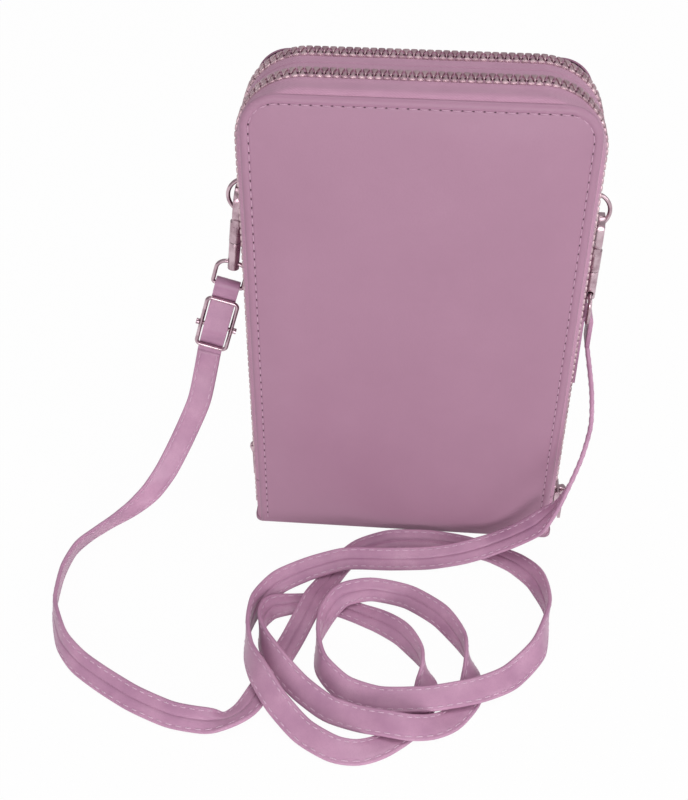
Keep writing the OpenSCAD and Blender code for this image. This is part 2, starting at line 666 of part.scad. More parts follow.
// Slider on the right side of the front chain: X out of the bag, Y across the chain, Z along it
plate_x = chain_hw + slider_play;
inner_x = chain_hw - tooth_h - slider_play - slider_plate;
crown_x = plate_x + slider_plate;
pull_x = crown_x + crown_out - crown_wall - pull_pin_r - pin_play;
pull_z = slider_z + slider_l - crown_wall - pull_pin_r - pin_play - slider_play;
module slider() {
    lip = tape_in - slider_play;
    translate([0, -chain_y, slider_z]) {
        translate([plate_x, -slider_w / 2, 0]) cube([slider_plate, slider_w, slider_l]);
        translate([inner_x, -slider_w / 2, 0]) cube([slider_plate, slider_w, slider_l]);
        for (s = [-1, 1]) {
            translate([plate_x - slider_play - lip, s * (slider_w - flange) / 2 - flange / 2, 0])
                cube([lip + slider_play, flange, slider_l]);
            translate([inner_x + slider_plate, s * (slider_w - flange) / 2 - flange / 2, 0])
                cube([lip + slider_play, flange, slider_l]);
        }
        translate([inner_x, -neck_t / 2, 0]) cube([plate_x - inner_x + slider_plate, neck_t, neck_l]);
        translate([crown_x, crown_w / 2, 0]) rotate([90, 0, 0]) linear_extrude(crown_w) difference() {
            hull() {
                translate([pull_x - crown_x, pull_z - slider_z]) circle(pull_pin_r + pin_play + crown_wall);
                translate([0, slider_l - crown_l]) square([crown_wall, crown_l]);
            }
            translate([pull_x - crown_x, pull_z - slider_z]) circle(pull_pin_r + pin_play);
        }
    }
}
module front_slider() { color(metal) slider(); }
module rear_slider() { color(metal) rotate([0, 0, 180]) slider(); }

// Pull tab: a fork round the bridge, its pin, and the tab that hangs below with an eyelet
module pull() {
    translate([pull_x, -chain_y, pull_z]) mirror([0, 0, 1]) {
        difference() {
            union() {
                rotate([90, 0, 0]) cylinder(r = pull_pin_r + pull_t / 2, h = pull_w, center = true);
                translate([-pull_t / 2, -pull_w / 2, 0]) cube([pull_t, pull_w, pull_l - pull_w / 2]);
                translate([-pull_t / 2, 0, pull_l - pull_w / 2])
                    rotate([0, 90, 0]) cylinder(d = pull_w, h = pull_t);
            }
            translate([-pull_w, -crown_w / 2 - pin_play, -pull_w])
                cube([2 * pull_w, crown_w + 2 * pin_play, pull_w + fork_l]);
            translate([-cut, 0, pull_l - pull_w / 2])
                rotate([0, 90, 0]) cylinder(r = pull_tip_r, h = pull_t + cut);
        }
        rotate([90, 0, 0]) cylinder(r = pull_pin_r, h = pull_w, center = true);
    }
}
module front_pull() { color(metal) pull(); }
module rear_pull() { color(metal) rotate([0, 0, 180]) pull(); }

// D-ring: bar upright, bow outwards, with its sewn tab
module d_ring() {
    translate([ring_x, 0, ring_z]) {
        translate([0, 0, -ring_r]) cylinder(r = wire_r, h = 2 * ring_r);
        rotate([90, 0, 0]) rotate([0, 0, -90])
            rotate_extrude(angle = 180) translate([ring_r, 0]) circle(wire_r);
        for (s = [-1, 1]) translate([0, 0, s * ring_r]) sphere(wire_r);
    }
}
module tab() {
    tail_end = tape_hw - tape_t - divider_edge;
    loop_r = wire_r + tab_play + tab_wall;
    translate([ring_x, 0, ring_z - tab_w / 2]) difference() {
        union() {
            cylinder(r = loop_r, h = tab_w);
            translate([tail_end - ring_x, -tab_tail / 2, 0]) cube([ring_x - tail_end, tab_tail, tab_w]);
        }
        translate([0, 0, -cut]) cylinder(r = wire_r + tab_play, h = tab_w + 2 * cut);
    }
}
module right_ring() { color(metal) d_ring(); }
module left_ring() { color(metal) mirror([1, 0, 0]) d_ring(); }
module right_tab() { color(leather) tab(); }
module left_tab() { color(leather) mirror([1, 0, 0]) tab(); }

// Puts a hook piece in place: its frame starts at the top of the jaw's opening, Z along the hook
module at_left_hook() {
    translate(left_pin) rotate([0, left_hook_tilt, 0]) translate([0, 0, left_drop]) children();
}
module at_right_hook() { translate(right_pin) translate([0, 0, right_drop]) children(); }

module hook_shape() {
    difference() {
        union() {
            hull() {
                translate([0, -jaw_w / 2]) circle(hook_r);
                translate([0, -jaw_l + jaw_w / 2]) circle(hook_r);
            }
            translate([-neck_w / 2, -neck_z - cut]) square([neck_w, neck_z + cut - jaw_l]);
        }
        hull() {
            translate([0, -jaw_w / 2]) circle(jaw_w / 2);
            translate([0, -jaw_l + jaw_w / 2]) circle(jaw_w / 2);
        }
    }
}
module hook() {
    difference() {
        union() {
            rotate([90, 0, 90]) linear_extrude(hook_t, center = true) hook_shape();
            translate([0, 0, -barrel_z]) cylinder(r = barrel_r, h = barrel_z - neck_z);
        }
        // the mouth, with the slot that the lever's foot turns in
        translate([-hook_t, jaw_w / 2 - gate_w, -lever_z - lever_slot])
            cube([2 * hook_t, hook_r, lever_z + lever_slot - gate_top]);
        translate([0, 0, -barrel_z - cut])
            cylinder(r = stem_r + stem_play, h = barrel_z - stem_head_z + 2 * cut);
        translate([0, 0, -stem_head_z - stem_play])
            cylinder(r = stem_head_r + stem_play, h = stem_head_h + 2 * stem_play);
    }
    // two cheeks that hold the lever's pin
    difference() {
        for (s = [0, 1]) mirror([s, 0, 0]) translate([hook_t / 2 - (hook_t - lever_t) / 2 + snug, 0, 0])
            rotate([90, 0, 90]) linear_extrude((hook_t - lever_t) / 2 - snug) hull() {
                translate([lever_y, -lever_z]) circle(lever_slot / 2 + snug);
                translate([0, -neck_z - lever_slot / 2]) circle(neck_w / 2);
            }
        translate([0, lever_y, -lever_z])
            rotate([0, 90, 0]) cylinder(r = pin_r, h = 2 * hook_t, center = true);
        translate([0, 0, -stem_head_z - stem_play])
            cylinder(r = stem_head_r + stem_play, h = stem_head_h + 2 * stem_play);
    }
}
module left_hook() { color(metal) at_left_hook() hook(); }
module right_hook() { color(metal) at_right_hook() hook(); }

// Spring lever that closes the jaw, with a thumb knob, turning on its pin
module lever() {
    difference() {
        rotate([90, 0, 90]) linear_extrude(lever_t, center = true) union() {
            hull() {
                translate([lever_y, -lever_z]) circle(lever_slot / 2);
                translate([jaw_w / 2 - gate_w + free + (gate_w - free) / 2, -gate_top - gate_w / 2 - free])
                    circle((gate_w - free) / 2);
            }
            translate([jaw_w / 2 + knob_r, -knob_z]) circle(knob_r);
        }
        translate([0, lever_y, -lever_z]) rotate([0, 90, 0])
            cylinder(r = pin_r + snug / 2, h = 2 * lever_t, center = true);
    }
}
module lever_pin() {
    translate([0, lever_y, -lever_z]) rotate([0, 90, 0]) cylinder(r = pin_r, h = hook_t, center = true);
}
module left_lever() { color(metal) at_left_hook() lever(); }
module right_lever() { color(metal) at_right_hook() lever(); }
module left_lever_pin() { color(metal) at_left_hook() lever_pin(); }
module right_lever_pin() { color(metal) at_right_hook() lever_pin(); }

// Swivel under the barrel: a headed stem and a foot with a cross hole, turned by a
module swivel(a) {
    rotate([0, 0, a]) difference() {
        union() {
            translate([0, 0, -stem_head_z]) cylinder(r = stem_head_r, h = stem_head_h);
            translate([0, 0, -hook_reach])
                cylinder(r = stem_r, h = hook_reach - stem_head_z + stem_head_h / 2);
            translate([0, 0, -hook_reach - swivel_end])
                cylinder(r = swivel_r, h = hook_reach + swivel_end - barrel_z - swivel_gap);
        }
        translate([0, 0, -hook_reach])
            rotate([0, 90, 0]) cylinder(r = cross_r, h = 2 * (swivel_r + cut), center = true);
    }
}
module left_swivel() { color(metal) at_left_hook() swivel(0); }
module right_swivel() { color(metal) at_right_hook() swivel(90); }

// Closed wire frame in the X-Z plane, centred, with corner radii above and below
module wire_corner(r, a) {
    rotate([90, 0, 0]) rotate([0, 0, a]) rotate_extrude(angle = 90) translate([r, 0]) circle(wire_r);
}
module wire_run(from, to) {
    d = to - from;
    translate(from) rotate([0, atan2(d[0], d[2]), 0]) cylinder(r = wire_r, h = norm(d));
}
module wire_frame(w, h, r_top, r_low) {
    x = w / 2;
    z = h / 2;
    wire_run([r_top - x, 0, z], [x - r_top, 0, z]);
    wire_run([r_low - x, 0, -z], [x - r_low, 0, -z]);
    for (s = [-1, 1]) wire_run([s * x, 0, r_low - z], [s * x, 0, z - r_top]);
    translate([x - r_top, 0, z - r_top]) wire_corner(r_top, 0);
    translate([r_top - x, 0, z - r_top]) wire_corner(r_top, 90);
    translate([r_low - x, 0, r_low - z]) wire_corner(r_low, 180);
    translate([x - r_low, 0, r_low - z]) wire_corner(r_low, 270);
}
module at_left_loop() { translate(left_hole) rotate([0, left_loop_tilt, 0]) children(); }
module at_right_loop() { translate(right_hole) rotate([0, 0, 90]) children(); }
module loop() { translate([0, 0, -loop_h / 2]) wire_frame(loop_w, loop_h, loop_top_r, loop_low_r); }
module left_loop() { color(metal) at_left_loop() loop(); }
module right_loop() { color(metal) at_right_loop() loop(); }

// Adjuster buckle and its centre bar
module at_buckle() { at_left_loop() translate([0, 0, -loop_h - buckle_z]) children(); }
module buckle_frame() {
    color(metal) at_buckle() difference() {
        wire_frame(buckle_w, buckle_h, buckle_r, buckle_r);
        translate([0, 0, -bar_drop])
            rotate([0, 90, 0]) cylinder(r = bar_r / 2 + bar_fit, h = 2 * buckle_w, center = true);
    }
}
module buckle_bar() {
    color(metal) at_buckle() translate([0, 0, -bar_drop]) {
        rotate([0, 90, 0]) cylinder(r = bar_r, h = buckle_in_w, center = true);
        rotate([0, 90, 0]) cylinder(r = bar_r / 2, h = buckle_w + wire_d + bar_knob_l, center = true);
        for (s = [-1, 1]) translate([s * (buckle_w / 2 + wire_r), 0, 0]) rotate([0, s * 90, 0])
            cylinder(r = bar_knob_r, h = bar_knob_l);
    }
}

// Points round a wire at (y, z), from angle a0 to a1, measured from +Y
function round_wire(y, z, r, a0, a1) =
    [for (i = [0:bend_steps]) let (a = a0 + (a1 - a0) * i / bend_steps) [y + r * cos(a), z + r * sin(a)]];

// Left strap end: from the free strap through the buckle, over the loop and back round the centre bar
module left_strap_end() {
    bar_z = -buckle_z - bar_drop;
    bar_wrap = bar_r + snug + strap_t / 2;
    over = bar_wrap + strap_t + layer_gap;
    back = wrap_r + strap_t + layer_gap;
    low = -buckle_z - buckle_h / 2;
    high = -buckle_z + buckle_h / 2;
    path = concat(
        [[wrap_r, -end_z], [wrap_r, low + frame_bend_z]],
        [[-over, bar_z - bar_bend_z], [-over, bar_z + bar_bend_z]],
        [[wrap_r, high - frame_bend_z], [wrap_r, high + bend_z], [-wrap_r, -bend_z]],
        round_wire(0, 0, wrap_r, 180, 0),
        [[wrap_r, -bend_z], [back, high + bend_z], [back, (high + bar_z) / 2]],
        round_wire(0, bar_z, bar_wrap, 20, -200));
    color(strap_leather) at_left_loop() translate([0, 0, -loop_h])
        rotate([90, 0, 90]) linear_extrude(strap_w, center = true) polygon(strip(path, strap_t));
}

// Right strap end: the free strap's end folded over the loop, with its tail on the bag's side
module right_strap_end() {
    path = concat([[wrap_r, -right_end_z]], round_wire(0, 0, wrap_r, 0, 180), [[-wrap_r, -tail_l]]);
    color(strap_leather) translate(right_hang) rotate([90, 0, 0])
        linear_extrude(strap_w, center = true) polygon(strip(path, strap_t));
}

// The free strap: an eight-sided flat section swept along the route
left_along = -down(left_loop_tilt, 1);
route_points = concat([left_start], [for (r = route) [r[0], r[1], r[2]]], [right_end]);
route_widths = concat([[-cos(left_loop_tilt), 0, sin(left_loop_tilt)]],
                      [for (r = route) [r[3], r[4], r[5]]], [[0, 1, 0]]);
route_n = len(route_points);
function along(i) = i == 0 ? -left_along : i == route_n - 1 ? [0, 0, 1] :
    unit(unit(route_points[i + 1] - route_points[i]) + unit(route_points[i] - route_points[i - 1]));
function across(i) = let (t = along(i), w = route_widths[i]) unit(w - (w * t) * t);
edge_share = 0.3;                         // bevel of the strap's edges, as a share of its thickness
section = let (a = strap_w / 2, b = strap_t / 2, e = strap_t * edge_share)
    [[a, -b + e], [a, b - e], [a - e, b], [-a + e, b], [-a, b - e], [-a, -b + e], [-a + e, -b], [a - e, -b]];
function ring(i) =
    let (w = across(i), f = cross(w, along(i))) [for (q = section) route_points[i] + q[0] * w + q[1] * f];
module strap() {
    sides = len(section);
    points = [for (i = [0:route_n - 1]) each ring(i)];
    walls = [for (i = [0:route_n - 2]) for (j = [0:sides - 1])
             let (a = i * sides + j, b = i * sides + (j + 1) % sides)
        for (f = [[a, b, b + sides], [a, b + sides, a + sides]]) f];
    ends = [[for (j = [sides - 1:-1:0]) j], [for (j = [0:sides - 1]) (route_n - 1) * sides + j]];
    color(strap_leather) polyhedron(points, concat(walls, ends));
}

function total(v, i = 0) = i == len(v) ? 0 : v[i] + total(v, i + 1);
echo(free_strap = total([for (i = [0:route_n - 2]) norm(route_points[i + 1] - route_points[i])]),
     rings = route_n);
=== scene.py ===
import json
import math
import bpy
import numpy as np
from mathutils import Matrix, Vector

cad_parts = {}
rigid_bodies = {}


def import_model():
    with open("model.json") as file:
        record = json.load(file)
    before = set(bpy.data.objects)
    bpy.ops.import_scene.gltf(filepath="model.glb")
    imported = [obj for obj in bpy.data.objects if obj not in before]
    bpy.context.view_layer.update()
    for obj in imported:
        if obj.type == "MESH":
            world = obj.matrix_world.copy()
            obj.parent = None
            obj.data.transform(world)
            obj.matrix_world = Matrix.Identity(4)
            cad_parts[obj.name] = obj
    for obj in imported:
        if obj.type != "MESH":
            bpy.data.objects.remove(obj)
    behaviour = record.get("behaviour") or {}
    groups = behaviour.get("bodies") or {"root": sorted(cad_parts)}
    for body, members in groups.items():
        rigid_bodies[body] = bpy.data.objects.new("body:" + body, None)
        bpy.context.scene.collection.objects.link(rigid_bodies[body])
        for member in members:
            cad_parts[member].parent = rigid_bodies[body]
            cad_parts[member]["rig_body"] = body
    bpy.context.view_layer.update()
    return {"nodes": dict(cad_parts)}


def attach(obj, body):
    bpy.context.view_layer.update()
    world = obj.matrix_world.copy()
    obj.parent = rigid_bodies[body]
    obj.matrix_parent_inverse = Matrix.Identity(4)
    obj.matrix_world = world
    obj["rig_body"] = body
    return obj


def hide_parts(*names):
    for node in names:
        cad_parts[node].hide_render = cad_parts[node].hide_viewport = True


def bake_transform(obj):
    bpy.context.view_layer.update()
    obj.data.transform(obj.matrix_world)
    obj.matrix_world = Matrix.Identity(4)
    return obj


# Crossbody phone pouch: leather covers, zip chains, clasps and a long flat strap, in metres
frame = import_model()
print("frame loaded with", len(frame["nodes"]), "nodes")
mm = 0.001
steady = np.random.default_rng(7)  # one seeded source for all small unevenness

# Camera, at the height and turn of the photograph
photoView = {"lens": 63.87, "place": (0.0039, -0.3635, 0.3487), "yaw": -4.51, "pitch": 39.44, "roll": 0.15}


def addCamera(view):
    yaw, pitch, roll = (math.radians(view[key]) for key in ("yaw", "pitch", "roll"))
    ahead = Vector((math.sin(yaw) * math.cos(pitch), math.cos(yaw) * math.cos(pitch), -math.sin(pitch)))
    right = Vector((math.cos(yaw), -math.sin(yaw), 0))
    up = right.cross(ahead)
    right, up = right * math.cos(roll) + up * math.sin(roll), up * math.cos(roll) - right * math.sin(roll)
    camera = bpy.data.objects.new("camera", bpy.data.cameras.new("camera"))
    camera.data.lens = view["lens"]
    camera.data.sensor_fit = "HORIZONTAL"
    camera.data.sensor_width = 36
    camera.data.clip_start = 0.01
    turned = Matrix((right, up, -ahead)).transposed().to_4x4()
    camera.matrix_world = Matrix.Translation(view["place"]) @ turned
    bpy.context.scene.collection.objects.link(camera)
    bpy.context.scene.camera = camera


addCamera(photoView)


# Colours and shader nodes
def linearColour(hexText):
    channels = [int(hexText[i:i + 2], 16) / 255 for i in (1, 3, 5)]
    return tuple(c / 12.92 if c <= 0.04045 else ((c + 0.055) / 1.055) ** 2.4 for c in channels) + (1.0,)


def addNode(tree, kind, settings=None, links=None):
    node = tree.nodes.new(kind)
    for key, value in (settings or {}).items():
        if key == "stops":
            for i, (place, shade) in enumerate(value):
                stop = node.color_ramp.elements[i] if i < 2 else node.color_ramp.elements.new(place)
                stop.position = place
                stop.color = linearColour(shade)
        elif isinstance(key, str) and hasattr(node, key):
            setattr(node, key, value)
        else:
            node.inputs[key].default_value = value
    for key, socket in (links or {}).items():
        tree.links.new(socket, node.inputs[key])
    return node


def startMaterial(name, settings):
    material = bpy.data.materials.new(name)
    material.use_nodes = True
    tree = material.node_tree
    tree.nodes.clear()
    shader = addNode(tree, "ShaderNodeBsdfPrincipled", settings)
    addNode(tree, "ShaderNodeOutputMaterial", None, {"Surface": shader.outputs[0]})
    return material, tree, shader


# PU leather is a polyurethane skin, embossed on a knitted cloth: a satin face with a fine pebble grain,
# soft broad highlights and a slight change of tone in soft random patches
def puLeather(name, facts):
    material, tree, shader = startMaterial(name, {"IOR": 1.5, "Coat Weight": facts["gloss"],
                                                  "Coat Roughness": 0.32, "Sheen Weight": 0.06,
                                                  "Sheen Roughness": 0.5})
    place = addNode(tree, "ShaderNodeTexCoord").outputs["Object"]
    clouds = addNode(tree, "ShaderNodeTexNoise", {"Scale": 1 / (facts["mottleMm"] * mm), "Detail": 3.0,
                                                  "Roughness": 0.55}, {"Vector": place})
    pores = addNode(tree, "ShaderNodeTexVoronoi", {"feature": "SMOOTH_F1",
                                                   "Scale": 1 / (facts["grainMm"] * mm), "Smoothness": 0.6,
                                                   "Randomness": 0.9}, {"Vector": place})
    tone = addNode(tree, "ShaderNodeValToRGB", {"stops": [(0.3, facts["shade"]), (0.62, facts["colour"]),
                                                          (0.8, facts["light"])]},
                   {"Fac": clouds.outputs["Fac"]})
    valley = addNode(tree, "ShaderNodeMapRange", {"From Min": 0.35, "From Max": 0.75, "To Min": 0.0,
                                                  "To Max": 0.28}, {"Value": pores.outputs["Distance"]})
    grainTone = addNode(tree, "ShaderNodeMix", {"data_type": "RGBA", 7: linearColour(facts["shade"])},
                        {"Factor": valley.outputs[0], 6: tone.outputs[0]})
    tree.links.new(grainTone.outputs[2], shader.inputs["Base Color"])
    shine = addNode(tree, "ShaderNodeMapRange", {"To Min": facts["roughness"] - 0.05,
                                                 "To Max": facts["roughness"] + 0.07},
                    {"Value": clouds.outputs["Fac"]})
    tree.links.new(shine.outputs[0], shader.inputs["Roughness"])
    wavy = addNode(tree, "ShaderNodeTexNoise", {"Scale": 1 / (facts["waveMm"] * mm), "Detail": 2.0},
                   {"Vector": place})
    soft = addNode(tree, "ShaderNodeBump", {"Strength": 0.35, "Distance": facts["waveDeepMm"] * mm},
                   {"Height": wavy.outputs["Fac"]})
    grain = addNode(tree, "ShaderNodeBump", {"Strength": 0.4, "Distance": 0.06 * mm, "invert": True},
                    {"Height": pores.outputs["Distance"], "Normal": soft.outputs[0]})
    tree.links.new(grain.outputs[0], shader.inputs["Normal"])
    return material


# Woven polyester: fine crossing yarns, matt with a little sheen, drawn coarser than real so that they show
def wovenPolyester(name, facts):
    material, tree, shader = startMaterial(name, {"IOR": 1.5, "Roughness": 0.78,
                                                  "Sheen Weight": facts["sheen"], "Sheen Roughness": 0.4,
                                                  "Specular IOR Level": 0.35})
    place = addNode(tree, "ShaderNodeTexCoord").outputs["Object"]
    clouds = addNode(tree, "ShaderNodeTexNoise", {"Scale": 1 / (6 * mm), "Detail": 4.0}, {"Vector": place})
    lines = []
    for way in ("DIAGONAL", "X", "Z", "Y"):
        spacing = facts["yarnMm"] * (1.7 if way == "DIAGONAL" else 1)
        lines.append(addNode(tree, "ShaderNodeTexWave", {"bands_direction": way,
                                                         "Scale": 2 * math.pi / (10 * spacing * mm),
                                                         "Distortion": 0.8, "Detail": 1.0,
                                                         "Detail Scale": 0.6}, {"Vector": place}))
    weft = addNode(tree, "ShaderNodeMath", {"operation": "ADD"}, {0: lines[1].outputs["Fac"],
                                                                  1: lines[2].outputs["Fac"]})
    weave = addNode(tree, "ShaderNodeMath", {"operation": "MULTIPLY"}, {0: weft.outputs[0],
                                                                        1: lines[3].outputs["Fac"]})
    half = addNode(tree, "ShaderNodeMath", {"operation": "MULTIPLY", 1: 0.35}, {0: weave.outputs[0]})
    cloth = addNode(tree, "ShaderNodeMath", {"operation": "MULTIPLY_ADD", 1: 0.35},
                    {0: lines[0].outputs["Fac"], 2: half.outputs[0]})
    tone = addNode(tree, "ShaderNodeValToRGB", {"stops": [(0.0, facts["shade"]), (0.75, facts["colour"]),
                                                          (1.0, facts["light"])]}, {"Fac": cloth.outputs[0]})
    worn = addNode(tree, "ShaderNodeMix", {"data_type": "RGBA", 7: linearColour(facts["colour"])},
                   {"Factor": clouds.outputs["Fac"], 6: tone.outputs[0]})
    tree.links.new(worn.outputs[2], shader.inputs["Base Color"])
    bump = addNode(tree, "ShaderNodeBump", {"Strength": 0.6, "Distance": 0.14 * mm},
                   {"Height": cloth.outputs[0]})
    tree.links.new(bump.outputs[0], shader.inputs["Normal"])
    return material


# Nickel on zinc or brass: a warm grey mirror dulled by handling, with darker tarnish in soft patches
def nickelPlate(name, facts):
    material, tree, shader = startMaterial(name, {"Metallic": 1.0})
    place = addNode(tree, "ShaderNodeTexCoord").outputs["Object"]
    patches = addNode(tree, "ShaderNodeTexNoise", {"Scale": 1 / (facts["patchMm"] * mm), "Detail": 3.0},
                      {"Vector": place})
    tone = addNode(tree, "ShaderNodeValToRGB", {"stops": [(0.34, facts["shade"]), (0.6, facts["colour"])]},
                   {"Fac": patches.outputs["Fac"]})
    tree.links.new(tone.outputs[0], shader.inputs["Base Color"])
    dull = addNode(tree, "ShaderNodeMapRange", {"To Min": facts["roughness"] + 0.12,
                                                "To Max": facts["roughness"] - 0.06},
                   {"Value": patches.outputs["Fac"]})
    tree.links.new(dull.outputs[0], shader.inputs["Roughness"])
    marks = addNode(tree, "ShaderNodeTexNoise", {"Scale": 1 / (0.7 * mm), "Detail": 2.0}, {"Vector": place})
    bump = addNode(tree, "ShaderNodeBump", {"Strength": 0.15, "Distance": 0.05 * mm},
                   {"Height": marks.outputs["Fac"]})
    tree.links.new(bump.outputs[0], shader.inputs["Normal"])
    return material


# Sewing thread, three polyester plies with a clear twist; the twist is 0.6 mm, a little coarser than real
def sewingThread(name, facts):
    material, tree, shader = startMaterial(name, {"Roughness": 0.6, "Sheen Weight": 0.25,
                                                  "Specular IOR Level": 0.4})
    place = addNode(tree, "ShaderNodeTexCoord").outputs["Object"]
    ply = addNode(tree, "ShaderNodeTexWave", {"bands_direction": "DIAGONAL",
                                              "Scale": 2 * math.pi / (10 * 0.6 * mm)}, {"Vector": place})
    tone = addNode(tree, "ShaderNodeValToRGB", {"stops": [(0.0, facts["shade"]), (0.6, facts["colour"])]},
                   {"Fac": ply.outputs["Fac"]})
    tree.links.new(tone.outputs[0], shader.inputs["Base Color"])
    bump = addNode(tree, "ShaderNodeBump", {"Strength": 0.5, "Distance": 0.08 * mm},
                   {"Height": ply.outputs["Fac"]})
    tree.links.new(bump.outputs[0], shader.inputs["Normal"])
    return material


# Grey board of pressed paper fibre: matt, with short fibres and specks
def greyBoard(name, facts):
    material, tree, shader = startMaterial(name, {"Roughness": 0.9, "Specular IOR Level": 0.2})
    place = addNode(tree, "ShaderNodeTexCoord").outputs["Object"]
    fibres = addNode(tree, "ShaderNodeTexNoise", {"Scale": 1 / (1.2 * mm), "Detail": 6.0,
                                                  "Distortion": 1.5}, {"Vector": place})
    tone = addNode(tree, "ShaderNodeValToRGB", {"stops": [(0.35, facts["shade"]), (0.65, facts["colour"])]},
                   {"Fac": fibres.outputs["Fac"]})
    tree.links.new(tone.outputs[0], shader.inputs["Base Color"])
    bump = addNode(tree, "ShaderNodeBump", {"Strength": 0.4, "Distance": 0.1 * mm},
                   {"Height": fibres.outputs["Fac"]})
    tree.links.new(bump.outputs[0], shader.inputs["Normal"])
    return material


coverFacts = {"colour": "#A67B93", "shade": "#A2778F", "light": "#A97F97", "grainMm": 0.55, "mottleMm": 30,
              "waveMm": 24, "waveDeepMm": 0.8, "roughness": 0.5, "gloss": 0.06}
strapFacts = {"colour": "#C393B0", "shade": "#AF7F9E", "light": "#CEA1BC", "grainMm": 0.5, "mottleMm": 12,
              "waveMm": 9, "waveDeepMm": 0.5, "roughness": 0.42, "gloss": 0.12}
tapeFacts = {"colour": "#C294AD", "shade": "#A97C95", "light": "#D3ABC1", "yarnMm": 0.7, "sheen": 0.2}
liningFacts = {"colour": "#A57C92", "shade": "#86627A", "light": "#B58DA2", "yarnMm": 0.5, "sheen": 0.15}
toothFacts = {"colour": "#D3B7BE", "shade": "#B4959F", "patchMm": 5, "roughness": 0.42}
# The hardware's pinkish tint, in both its colours, is painted reflection of the pink leather around it, laid
# over the nickel's own warm grey; the soft patches between the two colours are tarnish
hardwarePinkReflectionFacts = {"colour": "#CBB2BB", "shade": "#A98D98", "patchMm": 4, "roughness": 0.22}
threadFacts = {"colour": "#CBA5BC", "shade": "#B58BA4"}
strapThreadFacts = {"colour": "#DDBCD1", "shade": "#C49DB7"}
# The needle holes' dark plum is painted shade, standing in for the shadow inside each hole
holeShadeFacts = {"colour": "#553247", "shade": "#452739", "light": "#553247", "grainMm": 0.5, "mottleMm": 8,
             "waveMm": 5, "waveDeepMm": 0.1, "roughness": 0.7, "gloss": 0.0}
boardFacts = {"colour": "#A39C90", "shade": "#857D72"}

coverLeather = puLeather("pu leather cover", coverFacts)
strapLeather = puLeather("pu leather strap", strapFacts)
zipTape = wovenPolyester("woven polyester zip tape", tapeFacts)
liningCloth = wovenPolyester("woven polyester lining", liningFacts)
toothMetal = nickelPlate("nickel plated brass teeth", toothFacts)
hardwareMetal = nickelPlate("nickel plated zinc hardware with painted pink reflection", hardwarePinkReflectionFacts)
thread = sewingThread("polyester sewing thread", threadFacts)
strapThread = sewingThread("polyester sewing thread on strap", strapThreadFacts)
needleHoleShade = puLeather("pu leather needle hole painted shade", holeShadeFacts)
board = greyBoard("pressed grey board", boardFacts)
print("materials made")


# Meshes
def addMesh(name, points, faces, material, body=None, smooth=True):
    mesh = bpy.data.meshes.new(name)
    mesh.from_pydata([tuple(p) for p in np.asarray(points, float)], [], [tuple(f) for f in faces])
    mesh.validate()
    mesh.polygons.foreach_set("use_smooth", [smooth] * len(mesh.polygons))
    mesh.materials.append(material)
    piece = bpy.data.objects.new(name, mesh)
    bpy.context.scene.collection.objects.link(piece)
    if body:
        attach(piece, body)
    return piece


def gridFaces(rows, columns, closed=False, start=0):
    wrap = columns if closed else columns - 1
    return [(start + r * columns + c, start + r * columns + (c + 1) % columns,
             start + (r + 1) * columns + (c + 1) % columns, start + (r + 1) * columns + c)
            for r in range(rows - 1) for c in range(wrap)]


# The two compartments: which way each faces, its cover's top edge and how far up its tape's shoulder stands
pouchSides = {"front": {"sign": -1, "top": 184.5, "upShare": 0.9},
              "rear": {"sign": 1, "top": 182.0, "upShare": 0.5}}


def bodyOf(node):
    return frame["nodes"][node]["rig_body"]


# A rigid piece keeps its CAD shape, and its sharp edges get the small round that casting or cutting leaves
def roundedCopy(node, name, material, edgeMm, segments=2):
    source = frame["nodes"][node].data
    mesh = bpy.data.meshes.new(name)
    mesh.from_pydata([v.co.copy() for v in source.vertices], [], [tuple(p.vertices) for p in source.polygons])
    mesh.materials.append(material)
    piece = bpy.data.objects.new(name, mesh)
    bpy.context.scene.collection.objects.link(piece)
    weld = piece.modifiers.new("weld", "WELD")
    weld.merge_threshold = 0.004 * mm
    bevel = piece.modifiers.new("bevel", "BEVEL")
    bevel.limit_method = "ANGLE"
    bevel.angle_limit = math.radians(35)
    bevel.width = edgeMm * mm
    bevel.segments = segments
    bevel.use_clamp_overlap = True
    bevel.harden_normals = False
    done = bpy.data.meshes.new_from_object(piece.evaluated_get(bpy.context.evaluated_depsgraph_get()))
    piece.modifiers.clear()
    piece.data = done
    done.polygons.foreach_set("use_smooth", [True] * len(done.polygons))
    done.set_sharp_from_angle(angle=math.radians(40))
    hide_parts(node)
    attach(piece, bodyOf(node))
    return piece


# Stitches: each is a short bowed run of thread that dips into a needle hole at both ends
stitchFacts = {"threadMm": 0.4, "sides": 6, "bow": 0.12}


def stitchMesh(name, seats, material, body, facts=stitchFacts):
    points, faces = [], []
    sides = facts["sides"]
    for start, end, out in seats:
        start, end, out = Vector(start), Vector(end), Vector(out).normalized()
        run = end - start
        if run.length < 1e-6:
            continue
        across = run.normalized().cross(out)
        first = len(points)
        for k, share in enumerate((0.0, 0.12, 0.35, 0.65, 0.88, 1.0)):
            thick = facts["threadMm"] * mm * (0.28, 0.46, 0.5, 0.5, 0.46, 0.28)[k]
            lift = facts["bow"] * mm * (-1.6, 0.1, 1.0, 1.0, 0.1, -1.6)[k]
            for s in range(sides):
                turn = 2 * math.pi * s / sides
                rise = out * (lift + thick * math.sin(turn))
                points.append(start + run * share + rise + across * thick * math.cos(turn))
        faces += gridFaces(6, sides, True, first)
        faces.append([first + s for s in range(sides)])
        faces.append([first + 5 * sides + s for s in reversed(range(sides))])
    return addMesh(name, points, faces, material, body)


